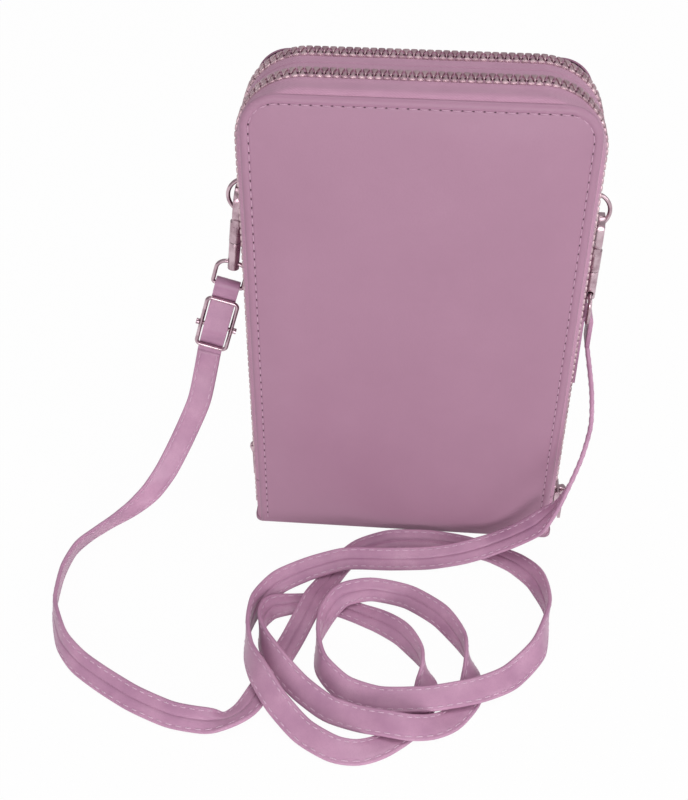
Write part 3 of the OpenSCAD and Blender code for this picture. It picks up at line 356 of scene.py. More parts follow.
# Needle holes: small dents where the thread goes down, coloured dark as painted shade inside each hole
def holeMesh(name, seats, radius, material, body):
    points, faces = [], []
    for place, out in seats:
        place, out = Vector(place), Vector(out).normalized()
        side = out.orthogonal().normalized()
        other = out.cross(side)
        first = len(points)
        for ring, lift in ((1.0, -0.05), (0.75, 0.04), (0.35, 0.05)):
            for k in range(6):
                turn = math.pi * k / 3
                away = side * math.cos(turn) + other * math.sin(turn)
                points.append(place + away * radius * mm * ring + out * lift * mm)
        faces += gridFaces(3, 6, True, first)
        faces.append([first + 12 + k for k in range(6)])
    return addMesh(name, points, faces, material, body)


# Strap: where its middle passes and which way its width lies, in millimetres
strapSizes = {"width": 9.0, "thick": 1.5, "stitchRow": 3.2, "pitch": 3.3, "stitch": 2.3, "stepMm": 1.6}
strapStart = (-76.231, 1.6, 68.445)
strapEnd = (63.8, 0.0, 83.262)
strapRoute = [
    (-78, 0.5, 60, -0.96, 0, 0.28), (-81, -3.5, 47, -0.95, 0, 0.3), (-88, -8, 31, -0.85, 0.1, 0.5),
    (-94.5, -13, 18.5, -0.72, 0.12, 0.66), (-100.5, -18, 10.8, -0.5, 0, 0.84),
    (-107, -23.5, 6.8, -0.15, -0.15, 0.97), (-114, -30, 5.2, 0.2, -0.22, 0.95),
    (-120, -37, 4.9, 0.3, -0.2, 0.93), (-125, -45, 4.9, 0.25, -0.12, 0.96),
    (-127, -57.5, 4.8, 0.15, -0.04, 0.99), (-125.5, -74.5, 4.8, 0.15, 0.02, 0.99),
    (-119, -89.5, 4.5, 0.42, 0.16, 0.87), (-111, -98, 3.9, 0.46, 0.5, 0.73),
    (-101, -104.5, 3.4, 0.42, 0.66, 0.62), (-88.5, -111.5, 3.2, 0.34, 0.76, 0.55),
    (-74.5, -117, 3.1, 0.15, 0.84, 0.52), (-63, -118.5, 3.2, -0.03, 0.85, 0.52),
    (-55, -117.5, 2.7, -0.5, 0.78, -0.37), (-49.5, -112, 1.9, -0.9, 0.38, -0.2),
    (-45.5, -102.5, 1.1, -0.93, 0.36, -0.03), (-41.5, -92, 1.1, -0.93, 0.36, 0),
    (-37, -80, 1.5, -0.93, 0.36, 0), (-33.5, -70, 3.1, -0.95, 0.33, 0), (-30.5, -60.5, 3.7, -0.95, 0.3, 0),
    (-27.5, -53, 1.9, -0.97, 0.2, 0), (-25.5, -48, 1.1, -0.97, 0.2, 0), (-22.5, -41.5, 1, -0.9, 0.4, 0.02),
    (-15.5, -33.5, 1.7, -0.62, 0.75, 0.2), (-4, -29, 2.7, -0.27, 0.86, 0.42), (11, -28, 2.8, 0, 0.9, 0.44),
    (25, -28.3, 1.6, 0.05, 0.98, 0.18), (35.5, -31, 1, 0.42, 0.9, 0), (44.5, -36.5, 2.1, 0.62, 0.72, 0.3),
    (51.5, -45.5, 3.9, 0.6, 0.35, 0.72), (55.5, -60, 4.7, 0.1, 0, 0.99), (51.5, -79, 4.4, -0.5, 0.25, 0.82),
    (41, -92.5, 3.9, -0.55, 0.63, 0.56), (29.5, -100, 5.3, -0.25, 0.87, 0.42),
    (13, -105, 5.4, 0, 0.9, 0.42), (-4, -106, 4.4, 0.2, 0.84, 0.5), (-17, -101.5, 3.6, 0.41, 0.7, 0.57),
    (-25.5, -92.5, 4.4, 0.36, 0.21, 0.91), (-27.5, -81, 4.7, 0, 0, 1), (-25.5, -70.5, 5.3, -0.5, 0.1, 0.85),
    (-20.5, -61.5, 6.1, -0.5, 0.57, 0.64), (-10, -56.5, 4.7, -0.2, 0.85, 0.5),
    (4, -58, 3.4, 0.25, 0.8, 0.53), (16, -66.5, 4, 0.52, 0.52, 0.67), (24, -78.5, 4.7, 0.24, 0.1, 0.97),
    (27.5, -90, 3.7, -0.65, 0, 0.76), (27, -100.5, 1.2, -0.98, 0.2, 0.03),
    (20.5, -110.3, 1.2, -0.75, 0.66, 0.05), (13.5, -115, 3.2, -0.35, 0.88, 0.3),
    (6, -117, 5.2, 0, 0.9, 0.44), (-2, -116, 5.3, 0.05, 0.9, 0.44), (-10, -114, 3.7, 0.15, 0.86, 0.48),
    (-21, -110.5, 3.2, 0.37, 0.79, 0.47), (-32, -103, 4.4, 0.52, 0.69, 0.5),
    (-41, -94, 6.3, 0.61, 0.46, 0.64), (-47, -84, 5.4, 0.32, 0.12, 0.94), (-49, -75, 4.7, -0.17, 0, 0.98),
    (-46.5, -67.5, 3.7, -0.5, 0.5, 0.68), (-39, -63.2, 1.4, -0.2, 0.97, 0.06), (-30, -61.8, 1, -0.05, 1, 0),
    (-21, -63, 1, 0.1, 0.99, 0), (-13, -66, 1.2, 0.25, 0.96, 0.05), (-5, -70.5, 2.8, 0.42, 0.78, 0.4),
    (2.5, -76.5, 4.2, 0.48, 0.5, 0.7), (9, -85.5, 4.7, 0.2, 0.07, 0.98), (11.5, -92.5, 4.4, -0.4, 0, 0.9),
    (12, -98.5, 2.2, -0.95, 0, 0.25), (10.8, -106, 1, -1, 0, 0.02), (6, -115, 1, -0.8, 0.6, 0),
    (-2.5, -122.5, 1.1, -0.45, 0.89, 0.03), (-10, -126, 1.9, -0.15, 0.95, 0.25),
    (-18, -126, 2.9, 0.1, 0.9, 0.42), (-29, -120, 3.1, 0.44, 0.75, 0.47),
    (-39, -110.5, 5.4, 0.58, 0.64, 0.5), (-46, -100.5, 6.9, 0.64, 0.42, 0.64),
    (-51.3, -90, 5, 0.33, 0.08, 0.94), (-53.3, -78, 4.7, 0, 0, 1), (-51.5, -66, 4.6, -0.4, 0.13, 0.9),
    (-44.5, -55.5, 4.8, -0.52, 0.59, 0.62), (-33, -48, 5.3, -0.4, 0.78, 0.47),
    (-20, -43, 6.1, -0.25, 0.87, 0.42), (-4, -40, 3.9, -0.1, 0.87, 0.5), (11, -38, 3.6, 0, 0.87, 0.5),
    (23, -35.5, 4.6, 0, 0.88, 0.47), (34, -31.8, 6.1, 0, 0.88, 0.47), (43.4, -31.8, 12.3, -0.1, 0.85, 0.5),
    (50.6, -33.5, 20.5, -0.32, 0.75, 0.53), (56.8, -33.8, 30, 0.08, 0.97, -0.25),
    (61, -30.2, 37.8, 0.18, 0.8, -0.58), (65.2, -23.5, 47.2, 0.16, 0.8, -0.58),
    (67.6, -17, 57.2, 0.14, 0.82, -0.55), (67.1, -10, 66.8, 0.12, 0.8, -0.6),
    (65.5, -2.8, 75.1, 0.07, 0.9, -0.4),
]


def strapFrames():
    tilt = math.radians(16)
    down = np.array((-math.sin(tilt), 0, -math.cos(tilt)))
    places = np.array([strapStart] + [row[:3] for row in strapRoute] + [strapEnd], float)
    first, last = (-math.cos(tilt), 0, math.sin(tilt)), (0, 1, 0)
    widths = np.array([first] + [row[3:] for row in strapRoute] + [last], float)
    widths /= np.linalg.norm(widths, axis=1)[:, None]
    before, after = places[0] - down * 9, places[-1] + np.array((0, 0, 8.0))
    padded = np.vstack([before, places, after])
    middle, side = [], []
    for i in range(len(places) - 1):
        a, b, c, d = padded[i:i + 4]
        steps = max(2, int(round(np.linalg.norm(c - b) / strapSizes["stepMm"])))
        for k in range(steps):
            t = k / steps
            square, cube = (2 * a - 5 * b + 4 * c - d) * t ** 2, (3 * b - a - 3 * c + d) * t ** 3
            p = 0.5 * (2 * b + (c - a) * t + square + cube)
            straight = b + (c - b) * t
            middle.append(p * 0.55 + straight * 0.45)  # between the smooth curve and the solid's own line
            side.append(widths[i] * (1 - t) + widths[i + 1] * t)
    middle.append(places[-1])
    side.append(widths[-1])
    middle, side = np.array(middle), np.array(side)
    for _ in range(2):
        middle[1:-1] = (middle[:-2] + 2 * middle[1:-1] + middle[2:]) / 4
        side[1:-1] = (side[:-2] + 2 * side[1:-1] + side[2:]) / 4
    along = np.gradient(middle, axis=0)
    along[0], along[-1] = down, (0, 0, 1)
    along /= np.linalg.norm(along, axis=1)[:, None]
    side -= (side * along).sum(1)[:, None] * along
    side /= np.linalg.norm(side, axis=1)[:, None]
    return middle, side, np.cross(side, along)


# Strap section: good face with a channel under each stitch row, back with the seam where its edges meet
def strapSection(sizes):
    half, thick, row = sizes["width"] / 2, sizes["thick"] / 2, sizes["stitchRow"]
    section = []
    for x in (-half + 0.55, -row - 0.45, -row, -row + 0.45, -1.6, 0.0, 1.6, row - 0.45, row, row + 0.45,
              half - 0.55):
        section.append((x, thick - (0.16 if abs(abs(x) - row) < 0.01 else 0.0)))
    section += [(half - 0.16, thick - 0.2), (half, 0.0), (half - 0.16, -thick + 0.2)]
    for x in (half - 0.55, row + 0.4, row, row - 0.4, 1.2, 0.28, 0.1, -0.1, -0.28, -1.2, -row + 0.4, -row,
              -row - 0.4, -half + 0.55):
        dip = 0.14 if abs(abs(x) - row) < 0.01 else 0.3 if abs(x) < 0.2 else 0.0
        section.append((x, -thick + dip))
    section += [(-half + 0.16, -thick + 0.2), (-half, 0.0), (-half + 0.16, thick - 0.2)]
    return np.array(section)


def makeStrap(sizes):
    middle, side, face = strapFrames()
    section = strapSection(sizes)
    step = np.r_[0, np.cumsum(np.linalg.norm(np.diff(middle, axis=0), axis=1))]
    pull = 0.05 * np.cos(2 * math.pi * step / sizes["pitch"])  # each stitch draws the leather in a little
    rings = []
    for m, s, f, p in zip(middle, side, face, pull):
        q = section.copy()
        inRow = np.abs(np.abs(q[:, 0]) - sizes["stitchRow"]) < 0.5
        q[:, 1] += np.where(inRow, p * np.sign(q[:, 1]), 0)
        rings.append(m + q[:, :1] * s + q[:, 1:] * f)
    count = len(section)
    faces = gridFaces(len(rings), count, True)
    faces += [list(reversed(range(count))), [(len(rings) - 1) * count + k for k in range(count)]]
    strap = addMesh("strap-ribbon", np.vstack(rings) * mm, faces, strapLeather, "pouch_core")
    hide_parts("strap")
    seats = []
    at = lambda s: [np.array([np.interp(s, step, v[:, k]) for k in range(3)]) for v in (middle, side, face)]
    place = 1.6
    while place + sizes["stitch"] < step[-1] - 1:
        (m0, s0, f0), (m1, s1, f1) = at(place), at(place + sizes["stitch"])
        for row in (-1, 1):
            for way in (-1, 1):
                lift = (sizes["thick"] / 2 - 0.15) * way
                seats.append(((m0 + s0 * row * sizes["stitchRow"] + f0 * lift) * mm,
                              (m1 + s1 * row * sizes["stitchRow"] + f1 * lift) * mm, (f0 + f1) * way))
        place += sizes["pitch"]
    seam = stitchMesh("strap-stitches", seats, strapThread, "pouch_core")
    [list(p * mm) for p in middle]
    print("strap made, %.1f mm" % step[-1])
    return strap


makeStrap(strapSizes)

# Covers: a turned leather skin over a stiff board, sewn to the tape along both sides and the top
coverSizes = {"halfWidth": 56.3, "corner": 12.0, "low": 0.6, "face": 21.0, "back": 19.8, "roll": 1.5,
              "crown": 0.55, "seamIn": 2.9, "seamLow": 3.2, "pitch": 3.3, "stitch": 2.45, "seamDeep": 0.34,
              "holeMm": 0.44, "pointMm": 0.85}


def coverOutline(inset, top, sizes):
    half, low = sizes["halfWidth"] - inset, sizes["low"] + inset
    high = top - inset
    corner = max(sizes["corner"] - inset, 0.35 * max(0.0, 1 - inset / 60) + 0.02)
    gap = sizes["pointMm"]
    whole, tall, wide = sizes["corner"], top - sizes["low"], 2 * sizes["halfWidth"]
    counts = (int((tall - whole) / gap), int(whole * math.pi / 2 / gap), int((wide - 2 * whole) / gap))
    pts = [(-half, low + (high - corner - low) * k / counts[0]) for k in range(counts[0])]
    pts += [(-half + corner - corner * math.cos(math.pi / 2 * k / counts[1]),
             high - corner + corner * math.sin(math.pi / 2 * k / counts[1])) for k in range(counts[1])]
    pts += [(-half + corner + (2 * half - 2 * corner) * k / counts[2], high) for k in range(counts[2])]
    pts += [(half - corner + corner * math.sin(math.pi / 2 * k / counts[1]),
             high - corner + corner * math.cos(math.pi / 2 * k / counts[1])) for k in range(counts[1])]
    pts += [(half, high - corner - (high - corner - low) * k / counts[0]) for k in range(counts[0])]
    floor = int(wide / gap / 2)
    pts += [(half - 2 * half * k / floor, low) for k in range(floor)]
    return np.array(pts)


def coverSkin(name, node, top, sign, body, sizes):
    insets = [0, 0.15, 0.35, 0.6, 0.9, 1.3, 1.75, 2.15, 2.45, 2.7, 2.9, 3.1, 3.35, 3.7, 4.4, 5.6, 7.5, 10,
              13.5, 18, 23, 29, 35, 41, 47, 52, 54.3]
    roll, half = sizes["roll"], sizes["halfWidth"]
    rows = []
    for inset in insets:
        flat = coverOutline(inset, top, sizes)
        x, z = flat[:, 0], flat[:, 1]
        cx = np.clip(np.abs(x) - (half - sizes["corner"]), 0, None)
        cz = np.clip(z - (top - sizes["corner"]), 0, None)
        corner = np.hypot(cx, cz)
        away = np.where((cx > 0) & (cz > 0), sizes["corner"] - corner, np.minimum(half - np.abs(x), top - z))
        under = z - sizes["low"]
        nearest = np.minimum(away, under)
        t = np.clip(nearest / roll, 0, 1)
        rise = np.sqrt(np.clip(1 - (1 - t) ** 2, 0, 1))
        depth = sizes["back"] + 0.05 + (sizes["face"] - sizes["back"] - 0.05) * rise
        run = np.where((cx > 0) & (cz > 0), z + np.abs(x), np.where(half - np.abs(x) < top - z, z, x))
        clear = np.clip((under - 1.0) / 4, 0, 1)
        groove = np.exp(-((away - sizes["seamIn"]) / 0.36) ** 2) * clear
        depth -= sizes["seamDeep"] * groove * (0.72 + 0.28 * np.cos(2 * math.pi * run / sizes["pitch"]))
        puff = np.exp(-((away - 1.7) / 0.7) ** 2) * 0.12 * clear  # the turned edge swells outside the seam
        inner = np.clip((away - sizes["seamIn"]) / 9, 0, 1)
        inner = inner * inner * (3 - 2 * inner) * np.clip(under / 8, 0, 1)
        slack = 0.22 * np.sin(x / 17 + 0.6) * np.sin(z / 29 + 1.1) + 0.14 * np.sin(x / 31 - z / 23)
        depth += puff + inner * (sizes["crown"] + slack)
        rows.append(np.column_stack([x, sign * depth, z]))
    outer = rows[0].copy()
    outer[:, 1] = sign * sizes["back"]
    inward = rows[3].copy()
    inward[:, 1] = sign * sizes["back"]
    rows = [inward, outer] + rows
    count = len(rows[0])
    faces = gridFaces(len(rows), count, True)
    tall = int((top - sizes["low"] - sizes["corner"]) / sizes["pointMm"])
    floor = int(2 * half / sizes["pointMm"] / 2)
    # the last ring is closed by strips from its left to its right side
    last, right = (len(rows) - 1) * count, count - floor
    faces += [(last + k, last + k + 1, last + right - k - 1, last + right - k) for k in range(1, tall - 1)]
    faces.append([last + k for k in range(tall - 1, right - tall + 2)])
    faces.append([last, last + 1, last + right - 1] + [last + k for k in range(right, count)])
    if sign > 0:
        faces = [tuple(reversed(f)) for f in faces]
    piece = addMesh(name, np.vstack(rows) * mm, faces, coverLeather, body)
    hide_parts(node)
    return piece


def coverSeam(name, top, sign, body, sizes):
    inset = sizes["seamIn"]
    half, corner, high = sizes["halfWidth"] - inset, sizes["corner"] - inset, top - inset
    low = sizes["seamLow"]
    side, arc = high - corner - low, corner * math.pi / 2
    wide = 2 * (half - corner)
    total = 2 * side + 2 * arc + wide

    def at(s):
        if s < side:
            return -half, low + s
        if s < side + arc:
            a = (s - side) / corner
            return -half + corner - corner * math.cos(a), high - corner + corner * math.sin(a)
        if s < side + arc + wide:
            return -half + corner + s - side - arc, high
        if s < side + 2 * arc + wide:
            a = (s - side - arc - wide) / corner
            return half - corner + corner * math.sin(a), high - corner + corner * math.cos(a)
        return half, high - corner - (s - side - 2 * arc - wide)

    seats, holes = [], []
    depth = sizes["face"] - sizes["seamDeep"] + 0.1
    s = 0.0
    while s + sizes["stitch"] < total:
        uneven = steady.normal(0, 0.06, 2)
        (x0, z0), (x1, z1) = at(s), at(s + sizes["stitch"])
        seats.append(((x0 * mm, sign * depth * mm, (z0 + uneven[0]) * mm),
                      (x1 * mm, sign * depth * mm, (z1 + uneven[1]) * mm), (0, sign, 0)))
        hx, hz = at(min(total, s + (sizes["stitch"] + sizes["pitch"]) / 2))
        holes.append(((hx * mm, sign * (depth + 0.02) * mm, hz * mm), (0, sign, 0)))
        s += sizes["pitch"]
    stitchMesh(name + "-stitches", seats, thread, body)
    holeMesh(name + "-needle-holes", holes, sizes["holeMm"], needleHoleShade, body)


for word, facts in pouchSides.items():
    cover = word + "_cover"
    coverSkin(word + "-cover-leather", word + "_panel", facts["top"], facts["sign"], cover, coverSizes)
    coverSeam(word + "-cover", facts["top"], facts["sign"], cover, coverSizes)
print("covers made")

# Zip tapes: woven bands that curve from the cover's edge over a shoulder to the teeth
tapeSizes = {"halfWidth": 58.7, "top": 186.2, "corner": 22.2, "thick": 0.8, "zipStart": 22.0, "base": 1.8,
             "edgeDepth": 19.8, "rowDepth": 11.05, "cord": (10.2, 9.4, 8.7), "sewnIn": 1.0, "stepMm": 1.7,
             "turnSteps": 22, "shoulderIn": 0.32, "shoulderOut": 0.78, "shoulderRound": 0.9,
             "bendShare": 0.36}
# The slot in the divider's tape that a ring's tab comes through
slotSizes = {"from": 57.0, "middle": 137.0, "halfTall": 8.3, "halfWide": 1.9}


def bandOutline(half, top, corner, low, step):
    full = tapeSizes  # every outline of one tape has as many points as its outermost one
    counts = (int((full["top"] - full["corner"] - low) / step), full["turnSteps"],
              int(2 * (full["halfWidth"] - full["corner"]) / step))
    turn = [math.pi / 2 * k / counts[1] for k in range(counts[1])]
    pts = [(-half, low + (top - corner - low) * k / counts[0]) for k in range(counts[0])]
    pts += [(-half + corner - corner * math.cos(a), top - corner + corner * math.sin(a)) for a in turn]
    pts += [(-half + corner + 2 * (half - corner) * k / counts[2], top) for k in range(counts[2])]
    pts += [(half - corner + corner * math.sin(a), top - corner + corner * math.cos(a)) for a in turn]
    pts += [(half, top - corner - (top - corner - low) * k / counts[0]) for k in range(counts[0] + 1)]
    return np.array(pts)


# Depth, half width, top and corner radius of a tape at each step from the cover's edge to the teeth
def coverStations(coverTop, upShare, sizes, count=15):
    sewnIn, bendShare = sizes["sewnIn"], sizes["bendShare"]
    edge = (-sizes["edgeDepth"], coverSizes["halfWidth"] - sewnIn, coverTop - sewnIn,
            coverSizes["corner"] - sewnIn)
    row = (-sizes["rowDepth"], sizes["halfWidth"], sizes["top"], sizes["corner"])
    shares = (sizes["shoulderIn"], sizes["shoulderOut"], upShare, sizes["shoulderRound"])
    shoulder = tuple(a + (b - a) * share for a, b, share in zip(edge, row, shares))
    found = []
    for k in range(count):
        t = k / (count - 1)
        first = min(1, t / bendShare)
        s = math.sin(math.pi / 2 * first)
        if t <= bendShare:
            found.append(tuple(a + (b - a) * (1 - math.cos(math.pi / 2 * first) if i == 0 else s)
                               for i, (a, b) in enumerate(zip(edge, shoulder))))
        else:
            u = (t - bendShare) / (1 - bendShare)
            found.append(tuple(a + (b - a) * u for a, b in zip(shoulder, row)))
    return found + [(-depth,) + row[1:] for depth in sizes["cord"]]


# A band of even thickness over a grid of places, with a wall round its edge and round any opening
def bandMesh(name, grid, inward, thick, keep, material, body):
    rows, columns = grid.shape[:2]
    outer, inner = grid.reshape(-1, 3), (grid + inward * thick).reshape(-1, 3)
    count = rows * columns
    faces = []
    at = lambda r, c: r * columns + c
    for r in range(rows - 1):
        for c in range(columns - 1):
            if not keep(r, c):
                continue
            q = (at(r, c), at(r, c + 1), at(r + 1, c + 1), at(r + 1, c))
            faces.append(q)
            faces.append(tuple(count + i for i in reversed(q)))
            for (a, b), (nr, nc) in zip(((q[0], q[1]), (q[1], q[2]), (q[2], q[3]), (q[3], q[0])),
                                        ((r - 1, c), (r, c + 1), (r + 1, c), (r, c - 1))):
                if not (0 <= nr < rows - 1 and 0 <= nc < columns - 1 and keep(nr, nc)):
                    faces.append((b, a, count + a, count + b))
    piece = addMesh(name, np.vstack([outer, inner]) * mm, faces, material, body)
    piece.data.set_sharp_from_angle(angle=math.radians(60))
    return piece


def outwardOf(points, half, top, corner):
    x, z = points[..., 0], points[..., 2]
    beyond = np.maximum(np.abs(x) - (half - corner), 0)
    nx = np.where(np.abs(x) > half - corner - 0.01, np.sign(x) * beyond, 0)
    nz = np.maximum(z - (top - corner), 0)
    length = np.maximum(np.hypot(nx, nz), 1e-9)
    return np.stack([nx / length, np.zeros_like(x), nz / length], axis=-1)


def outerTape(name, node, coverTop, upShare, sign, body, sizes):
    stations = coverStations(coverTop, upShare, sizes)
    grid = []
    for y, half, top, corner in stations:
        flat = bandOutline(half, top, corner, sizes["zipStart"], sizes["stepMm"])
        grid.append(np.column_stack([flat[:, 0], np.full(len(flat), y), flat[:, 1]]))
    grid = np.array(grid)
    out = outwardOf(grid, sizes["halfWidth"], sizes["top"], sizes["corner"])
    last = len(stations) - 1
    across = np.minimum(np.linspace(0, last / (last - len(sizes["cord"])), len(stations)), 1)[:, None]
    run = np.cumsum(np.r_[0, np.linalg.norm(np.diff(grid[-1], axis=0), axis=1)])[None, :]
    bend = np.clip((np.abs(grid[-1][:, 0]) - 38) / 10, 0, 1) * np.clip((grid[-1][:, 2] - 150) / 20, 0, 1)
    ripple = np.sin(run / 1.9 + 2.2 * np.sin(run / 13)) * 0.13 * bend[None, :]
    ripple = ripple + 0.1 * np.sin(run / 6.1 + 1.3 * np.sin(run / 17))
    bead = 0.22 * np.exp(-((across - 0.93) / 0.05) ** 2)  # cord woven in the tape's edge, under the teeth
    hollow = -0.15 * np.sin(math.pi * np.clip((across - 0.4) / 0.5, 0, 1))
    grid += out * (ripple * np.sin(math.pi * across) + bead + hollow)[..., None]
    grid[..., 1] *= -sign
    if sign > 0:
        grid, out = grid[:, ::-1], out[:, ::-1]
    piece = bandMesh(name, grid[::-1], -out[::-1], sizes["thick"] - 0.1, lambda r, c: True, zipTape,
                     body)
    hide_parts(node)
    return piece


def innerTape(name, sizes):
    steps = (0.3, 0.7, 1.2, 1.9, 2.5, 3.4, 4.1, 4.5, 4.95, 5.8, 6.6, 7.3)
    depths = np.array([-depth for depth in reversed(steps)] + [0.0] + list(steps))
    flat = bandOutline(sizes["halfWidth"], sizes["top"], sizes["corner"], sizes["base"], sizes["stepMm"])
    grid = np.array([np.column_stack([flat[:, 0], np.full(len(flat), y), flat[:, 1]]) for y in depths])
    out = outwardOf(grid, sizes["halfWidth"], sizes["top"], sizes["corner"])
    y = depths[:, None]
    run = np.cumsum(np.r_[0, np.linalg.norm(np.diff(grid[0], axis=0), axis=1)])[None, :]
    # The two tapes meet in a seam, and each has a bead under its teeth
    seam = -0.45 * np.exp(-(y / 0.45) ** 2) + 0.16 * np.exp(-((np.abs(y) - 4.3) / 0.4) ** 2)
    grid += out * (seam + 0.08 * np.sin(run / 5.3) * np.cos(y / 2))[..., None]
    middle = (flat[:-1] + flat[1:]) / 2
    slot = slotSizes
    onSide = np.abs(middle[:, 0]) > slot["from"]
    inSlot = onSide & (np.abs(middle[:, 1] - slot["middle"]) < slot["halfTall"])
    keep = lambda r, c: not (inSlot[c] and abs((depths[r] + depths[r + 1]) / 2) < slot["halfWide"])
    piece = bandMesh(name, grid[::-1], -out[::-1], sizes["thick"] - 0.05, keep, zipTape,
                     "pouch_core")
    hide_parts("front_inner_tape", "rear_inner_tape")
    return piece


def zipEnds(name, node, coverTop, upShare, sign, sizes):
    stations = coverStations(coverTop, upShare, sizes)
    parts = []
    for side in (-1, 1):
        rows = []
        for z in np.linspace(sizes["base"], sizes["zipStart"] - 0.35, 14):
            gather = 0.1 * math.sin(z / 1.1) * math.exp(-(z - 1.8) / 5)
            row = [(side * (half + gather * math.sin(math.pi * k / 14) + (0.35 if k == 0 else 0)),
                    y * -sign, z) for k, (y, half, top, corner) in enumerate(stations)]
            rows.append(row)
        grid = np.array(rows)
        inward = np.zeros_like(grid)
        inward[..., 0] = -side
        if side * sign > 0:
            grid, inward = grid[:, ::-1], inward[:, ::-1]
        part = bandMesh(name + ("-left" if side < 0 else "-right"), grid, inward, sizes["thick"] - 0.1,
                        lambda r, c: True, zipTape, "pouch_core")
        parts.append(part)
    for part in parts:
        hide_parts(node)


innerTape("inner-tapes", tapeSizes)
for word, facts in pouchSides.items():
    top, upShare, sign = facts["top"], facts["upShare"], facts["sign"]
    outerTape(word + "-outer-tape", word + "_outer_tape", top, upShare, sign, word + "_cover", tapeSizes)
    zipEnds(word + "-zip-end", word + "_zip_ends", top, upShare, sign, tapeSizes)
print("tapes made")

# Zip teeth: a broad root clamps the tape's edge, a tapered nose reaches between the teeth of the other row
toothSizes = {"pitch": 2.6, "height": 2.4, "root": 1.7, "halfWidth": 59.5, "top": 187.0, "corner": 23.0,
              "first": 5.0, "edge": 0.24, "reach": 3.8, "leanDeg": 1.6, "coverRow": 11.05,
              "dividerRow": 4.95, "openFrom": 22.85, "endTo": 20.8}


def toothShape(sizes):
    height, reach, root = sizes["height"], sizes["reach"], sizes["root"] / 2
    right = [(root * 1.1, 0.0), (root * 1.32, 0.15), (root * 1.26, 0.35), (root, 1.0), (0.52, 2.1),
             (0.32, reach - 0.25), (0.16, reach)]
    plan = np.array(right + [(-x, y) for x, y in reversed(right)])
    centre = np.array((0.0, 0.6))
    layers = [(-height, 0.74), (-height + 0.1, 0.9), (-height + sizes["edge"], 1.0),
              (-sizes["edge"] - 0.1, 1.0), (-0.16, 0.93), (-0.04, 0.78), (0.02, 0.5)]
    points = [(depth, centre[1] + (p[1] - centre[1]) * (0.5 + 0.5 * share), centre[0] + p[0] * share)
              for depth, share in layers for p in plan]
    count = len(plan)
    faces = gridFaces(len(layers), count, True)
    faces += [tuple(range(count))[::-1], tuple((len(layers) - 1) * count + k for k in range(count))]
    return np.array(points), faces


def chainPlace(s, sizes):
    side = sizes["top"] - sizes["corner"] - sizes["first"]
    arc, wide = sizes["corner"] * math.pi / 2, 2 * (sizes["halfWidth"] - sizes["corner"])
    half, corner, top = sizes["halfWidth"], sizes["corner"], sizes["top"]
    if s < side:
        return -half, sizes["first"] + s, math.pi
    if s < side + arc:
        a = math.pi - (s - side) / corner
        return corner - half + corner * math.cos(a), top - corner + corner * math.sin(a), a
    if s < side + arc + wide:
        return corner - half + s - side - arc, top, math.pi / 2
    if s < side + 2 * arc + wide:
        a = math.pi / 2 - (s - side - arc - wide) / corner
        return half - corner + corner * math.cos(a), top - corner + corner * math.sin(a), a
    return half, sizes["first"] + 2 * side + 2 * arc + wide - s, 0.0


def teethMesh(name, node, coverRow, sign, low, high, body, sizes):
    shape, shapeFaces = toothShape(sizes)
    corner, pitch = sizes["corner"], sizes["pitch"]
    straight = sizes["top"] - corner - sizes["first"]
    length = 2 * straight + corner * math.pi + 2 * (sizes["halfWidth"] - corner)
    points, faces = [], []
    for i in range(int(length / pitch)):
        x, z, a = chainPlace(i * pitch + (pitch / 2 if coverRow else 0) + sizes["root"] / 2, sizes)
        if not low < z < high:
            continue
        out = np.array((math.cos(a), 0, math.sin(a)))
        across = np.array((0, 1.0 if coverRow else -1.0, 0)) * -sign
        lean = steady.normal(0, math.radians(sizes["leanDeg"]))
        run = np.cross(out, across)
        run, across = (run * math.cos(lean) + across * math.sin(lean),
                       across * math.cos(lean) - run * math.sin(lean))
        depth = sizes["coverRow" if coverRow else "dividerRow"] * sign
        first = len(points) * len(shape)
        points.append(np.array((x, depth, z)) + shape[:, :1] * out + shape[:, 1:2] * across
                      + shape[:, 2:] * run)
        faces += [tuple(first + k for k in f) for f in shapeFaces]
    piece = addMesh(name, np.vstack(points) * mm, faces, toothMetal, body)
    piece.data.set_sharp_from_angle(angle=math.radians(50))
    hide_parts(node)
    return piece


for word, facts in pouchSides.items():
    rows = {"outer": (True, toothSizes["openFrom"], math.inf, word + "_cover"),
            "end": (True, 0, toothSizes["endTo"], "pouch_core"),
            "inner": (False, 0, math.inf, "pouch_core")}
    for row, (coverRow, low, high, body) in rows.items():
        teethMesh("%s-%s-tooth-row" % (word, row), "%s_%s_teeth" % (word, row), coverRow, facts["sign"],
                  low, high, body, toothSizes)
print("teeth made")

# Rigid hardware and the pieces inside keep their CAD shape, with rounded edges
hardware = {"front_slider": 0.4, "rear_slider": 0.4, "front_pull": 0.28, "rear_pull": 0.28,
            "left_ring": 0.05, "right_ring": 0.05, "left_hook": 0.4, "right_hook": 0.4, "left_lever": 0.25,
            "right_lever": 0.25, "left_lever_pin": 0.1, "right_lever_pin": 0.1, "left_swivel": 0.3,
            "right_swivel": 0.3, "left_loop": 0.05, "right_loop": 0.05, "buckle_frame": 0.05,
            "buckle_bar": 0.2}
for node, edge in hardware.items():
    roundedCopy(node, node.replace("_", "-") + "-plated", hardwareMetal, edge)
roundedCopy("bottom_stops", "bottom-stops-plated", toothMetal, 0.25)

